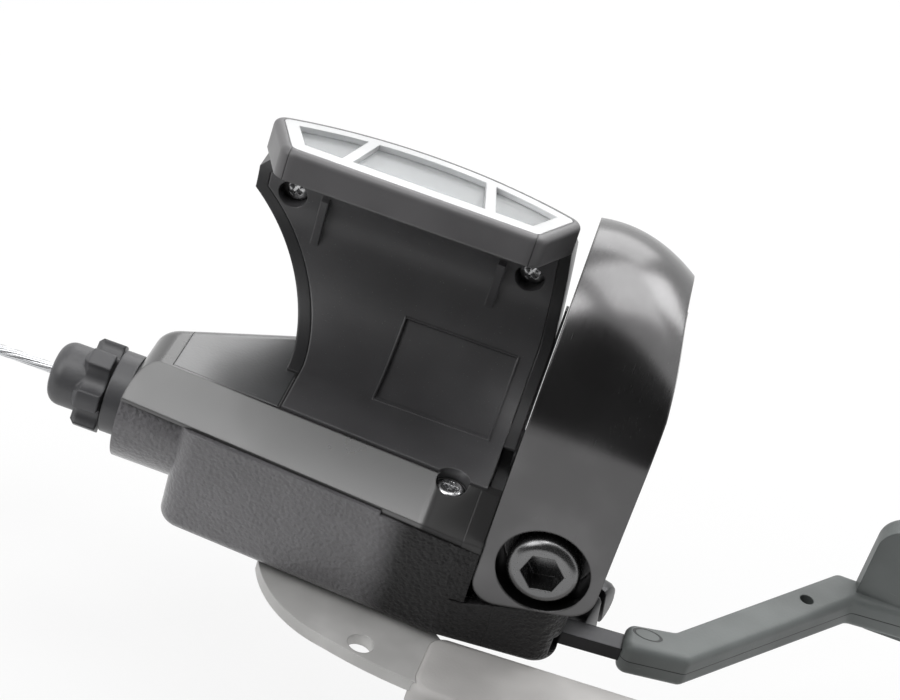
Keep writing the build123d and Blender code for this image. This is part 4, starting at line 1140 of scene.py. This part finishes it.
@dataclass
class Mechanism:
    """The drum, the ratchet and the pawls inside the covers."""

    steel: SatinMetal = SatinMetal("oiled_tool_steel", (0.42, 0.42, 0.44), 0.34)
    drum: MouldedPlastic = MouldedPlastic("dark_grey_drum", (0.1, 0.1, 0.105), 0.45)

    def build(self) -> None:
        """Dress the moving pieces."""
        dress(self.steel.make(), "ratchet_ring", "holding_pawl", "feed_pawl", "lever_hub", "lever_spring")
        dress(self.drum.make(), "cable_drum")


@dataclass
class BarrelAdjuster:
    """The lobed knob and the socket that it screws into."""

    knob: MouldedPlastic = MouldedPlastic(
        "black_knob", (0.065, 0.065, 0.069), 0.42, edge=0.4 * MM, specular=0.7
    )
    socket: MouldedPlastic = MouldedPlastic("black_socket", (0.056, 0.056, 0.06), 0.4, specular=0.7)

    def build(self) -> None:
        """Dress the knob and its socket."""
        dress(self.knob.make(), "adjuster_knob")
        dress(self.socket.make(), "adjuster_socket")


@dataclass
class InnerCable:
    """The bare inner cable: a straight stretch, then the free length in a tied coil."""

    radius: float = 0.6 * MM
    line_y: float = -5.6 * MM
    line_z: float = -18.5 * MM
    inner_end: float = -21.4 * MM
    exit_x: float = -55.75 * MM
    housing_exit_x: float = -48.0 * MM
    coil_x: float = -80.0 * MM
    coil_mid_radius: float = 10.4 * MM
    layers: int = 6
    rows: int = 5
    points_per_turn: int = 16
    length: float = 1.98
    lead: float = 3 * MM
    wire_colour: Colour = (0.8, 0.81, 0.83)
    lay_length: float = 9 * MM
    strands: int = 12
    tie: MouldedPlastic = MouldedPlastic("black_tie", (0.02, 0.02, 0.021), 0.5)

    def route(self) -> list[Vector]:
        """Return the cable's points, from the drum out to the coil's inner end."""
        pitch = 2 * self.radius
        outer = self.coil_mid_radius + pitch * (self.layers - 1) / 2
        centre = Vector((self.coil_x, self.line_y, self.line_z - outer))
        points = [
            Vector((self.inner_end, self.line_y, self.line_z)),
            Vector((self.exit_x, self.line_y, self.line_z)),
            Vector((0.5 * (self.exit_x + self.coil_x) + self.lead, self.line_y, self.line_z)),
        ]
        for layer in range(self.layers):
            turn_radius = outer - pitch * layer
            for row in range(self.rows):
                step = row if layer % 2 == 0 else self.rows - 1 - row
                side = pitch * (step - (self.rows - 1) / 2)
                for k in range(self.points_per_turn):
                    angle = math.pi / 2 + 2 * math.pi * k / self.points_per_turn
                    across, up = turn_radius * math.cos(angle), turn_radius * math.sin(angle)
                    points.append(centre + Vector((across, side, up)))
        return points

    def build(self) -> None:
        """Make the cable as one spline and dress the tie."""
        points = self.route()
        curve = bpy.data.curves.new("inner_cable_wire", "CURVE")
        curve.dimensions = "3D"
        curve.bevel_depth = self.radius
        curve.bevel_resolution = 3
        curve.resolution_u = 4
        curve.use_fill_caps = True
        spline = curve.splines.new("NURBS")
        spline.points.add(len(points) - 1)
        for place, point in zip(spline.points, points):
            place.co = (*point, 1.0)
        spline.order_u = 3
        spline.use_endpoint_u = True
        wire = bpy.data.objects.new("inner_cable_wire", curve)
        bpy.context.scene.collection.objects.link(wire)
        finish = StrandedWire(
            "stranded_steel", self.wire_colour, self.lay_length, self.strands, self.length
        )
        curve.materials.append(finish.make())
        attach(wire, SHIFTER_BODY)
        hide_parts("inner_cable", "cable_coil")
        dress(self.tie.make(), "coil_tie")
        LOG.info("laid the inner cable, %.2f m", self.length)


@dataclass
class Studio:
    """White surroundings, soft lamps and the photograph's camera."""

    azimuth: float = -3.0
    elevation: float = 32.0
    roll: float = 18.1
    lens: float = 88.0
    distance: float = 229 * MM
    target: tuple[float, float, float] = (-16.4 * MM, -1.3 * MM, -2.1 * MM)
    floor_z: float = -47 * MM
    floor_size: float = 3.0
    floor_white: float = 0.85
    floor_tones: tuple[Colour, Colour] = ((0.93, 0.93, 0.93), (0.95, 0.95, 0.95))
    floor_speckle: float = 300.0
    card_tones: tuple[Colour, Colour] = ((0.05, 0.05, 0.05), (0.07, 0.07, 0.07))
    card_mottle: float = 3.0
    matte: float = 0.9
    sensor_width: float = 36.0
    clip_start: float = 0.01
    world_light: float = 0.12
    cards: tuple[tuple[str, float, float, float, float], ...] = (
        ("far_card", -0.9, 2.0, -0.04, 1.8),
        ("near_card", -0.11, 0.3, -0.046, 0.03),
    )
    lamps: tuple[tuple[str, tuple[float, float, float], float, float], ...] = (
        ("right_softbox", (0.31, 0.31, 0.41), 0.24, 0.9),
        ("top_softbox", (0.12, 0.12, 0.62), 0.46, 2.1),
        ("back_softbox", (0.0, 0.58, 0.38), 0.4, 1.3),
        ("left_softbox", (-0.45, -0.35, 0.35), 0.4, 1.75),
        ("strip_softbox", (-0.19, -0.22, 0.6), 0.24, 0.75),
    )

    def build(self) -> None:
        """Make the surroundings, the lamps and the camera."""
        bpy.context.scene.view_settings.view_transform = "Standard"
        self._surroundings()
        self._floor()
        for name, place, half, low, high in self.cards:
            self._dark_card(name, place, half, low, high)
        for name, place, size, power in self.lamps:
            self._lamp(name, Vector(place), size, power)
        self._camera()

    def _surroundings(self) -> None:
        """Make the world white where it is seen, and softer where it lights."""
        world = bpy.data.worlds.new("white_room")
        bpy.context.scene.world = world
        world.use_nodes = True
        g = Graph(world.node_tree)
        lit = g.tree.nodes["Background"]
        g.feed(lit.inputs["Color"], WHITE)
        g.feed(lit.inputs["Strength"], self.world_light)
        white = g.node("ShaderNodeBackground", None, {"Color": WHITE, "Strength": 1.0})
        shaders = {0: g.seen(), 1: Socket(g, lit.outputs[0]), 2: white}
        g.close("World Output", g.node("ShaderNodeMixShader", None, shaders))

    def _floor(self) -> None:
        """Make a pale floor that keeps the shadow."""
        mesh = bpy.data.meshes.new("floor")
        shape = bmesh.new()
        bmesh.ops.create_grid(shape, x_segments=1, y_segments=1, size=self.floor_size)
        bmesh.ops.translate(shape, verts=shape.verts, vec=(0.0, 0.0, self.floor_z))
        shape.to_mesh(mesh)
        shape.free()
        floor = bpy.data.objects.new("floor", mesh)
        bpy.context.scene.collection.objects.link(floor)
        g = Surface("white_floor")
        speckle = g.noise(self.floor_speckle)
        g.set(Base_Color=g.blend(speckle, *self.floor_tones), Roughness=self.matte)
        white = g.node("ShaderNodeEmission", None, {"Color": WHITE, "Strength": 1.0})
        shaders = {0: g.seen() * self.floor_white, 1: Socket(g, g.surface.outputs[0]), 2: white}
        g.close("Material Output", g.node("ShaderNodeMixShader", None, shaders))
        mesh.materials.append(g.material)

    def _dark_card(self, name: str, place: float, half: float, low: float, high: float) -> None:
        """Stand a dark card in front of the shifter, which shows only in reflections.

        Args:
            name: The card's name.
            place: Its Y, in metres.
            half: Half its width.
            low: Its lower edge.
            high: Its upper edge.
        """
        mesh = bpy.data.meshes.new(name)
        shape = bmesh.new()
        corners = [(-half, low), (half, low), (half, high), (-half, high)]
        shape.faces.new([shape.verts.new((x, place, z)) for x, z in corners])
        shape.to_mesh(mesh)
        shape.free()
        card = bpy.data.objects.new(name, mesh)
        card.visible_camera = False
        bpy.context.scene.collection.objects.link(card)
        g = Surface(name)
        mottle = g.noise(self.card_mottle)
        g.set(Base_Color=g.blend(mottle, *self.card_tones), Roughness=self.matte)
        mesh.materials.append(g.material)

    def _lamp(self, name: str, place: Vector, size: float, power: float) -> None:
        """Add a square lamp that faces the shifter.

        Args:
            name: The lamp's name.
            place: Its place, in metres.
            size: Its side, in metres.
            power: Its power, in watts.
        """
        lamp = bpy.data.lights.new(name, "AREA")
        lamp.size = size
        lamp.energy = power
        holder = bpy.data.objects.new(name, lamp)
        aim = (Vector(self.target) - place).to_track_quat("-Z", "Y")
        holder.matrix_world = Matrix.Translation(place) @ aim.to_matrix().to_4x4()
        bpy.context.scene.collection.objects.link(holder)

    def _camera(self) -> None:
        """Put the camera where the photograph was taken."""
        swing = math.radians(self.azimuth)
        tilt = math.radians(self.elevation)
        turn = math.radians(self.roll)
        flat = Vector((math.sin(swing), math.cos(swing), 0.0))
        side = Vector((math.cos(swing), -math.sin(swing), 0.0))
        ahead = flat * math.cos(tilt) - Vector((0.0, 0.0, math.sin(tilt)))
        level_up = flat * math.sin(tilt) + Vector((0.0, 0.0, math.cos(tilt)))
        right = side * math.cos(turn) + level_up * math.sin(turn)
        up = level_up * math.cos(turn) - side * math.sin(turn)
        lens = bpy.data.cameras.new("photo_camera")
        lens.lens = self.lens
        lens.sensor_width = self.sensor_width
        lens.sensor_fit = "HORIZONTAL"
        lens.clip_start = self.clip_start
        camera = bpy.data.objects.new("photo_camera", lens)
        axes = Matrix((right, up, -ahead)).transposed().to_4x4()
        place = Vector(self.target) - ahead * self.distance
        camera.matrix_world = Matrix.Translation(place) @ axes
        bpy.context.scene.collection.objects.link(camera)
        bpy.context.scene.camera = camera


def main() -> None:
    """Build every sub-assembly in order, then the studio."""
    logging.basicConfig(level=logging.INFO)
    for assembly in (
        InnerCable(),
        ClampAssembly(),
        Housing(),
        Saddle(),
        GearDisplay(),
        Levers(),
        Mechanism(),
        BarrelAdjuster(),
        Studio(),
    ):
        assembly.build()
        LOG.info("built %s", type(assembly).__name__)


if __name__ == "__main__":
    main()
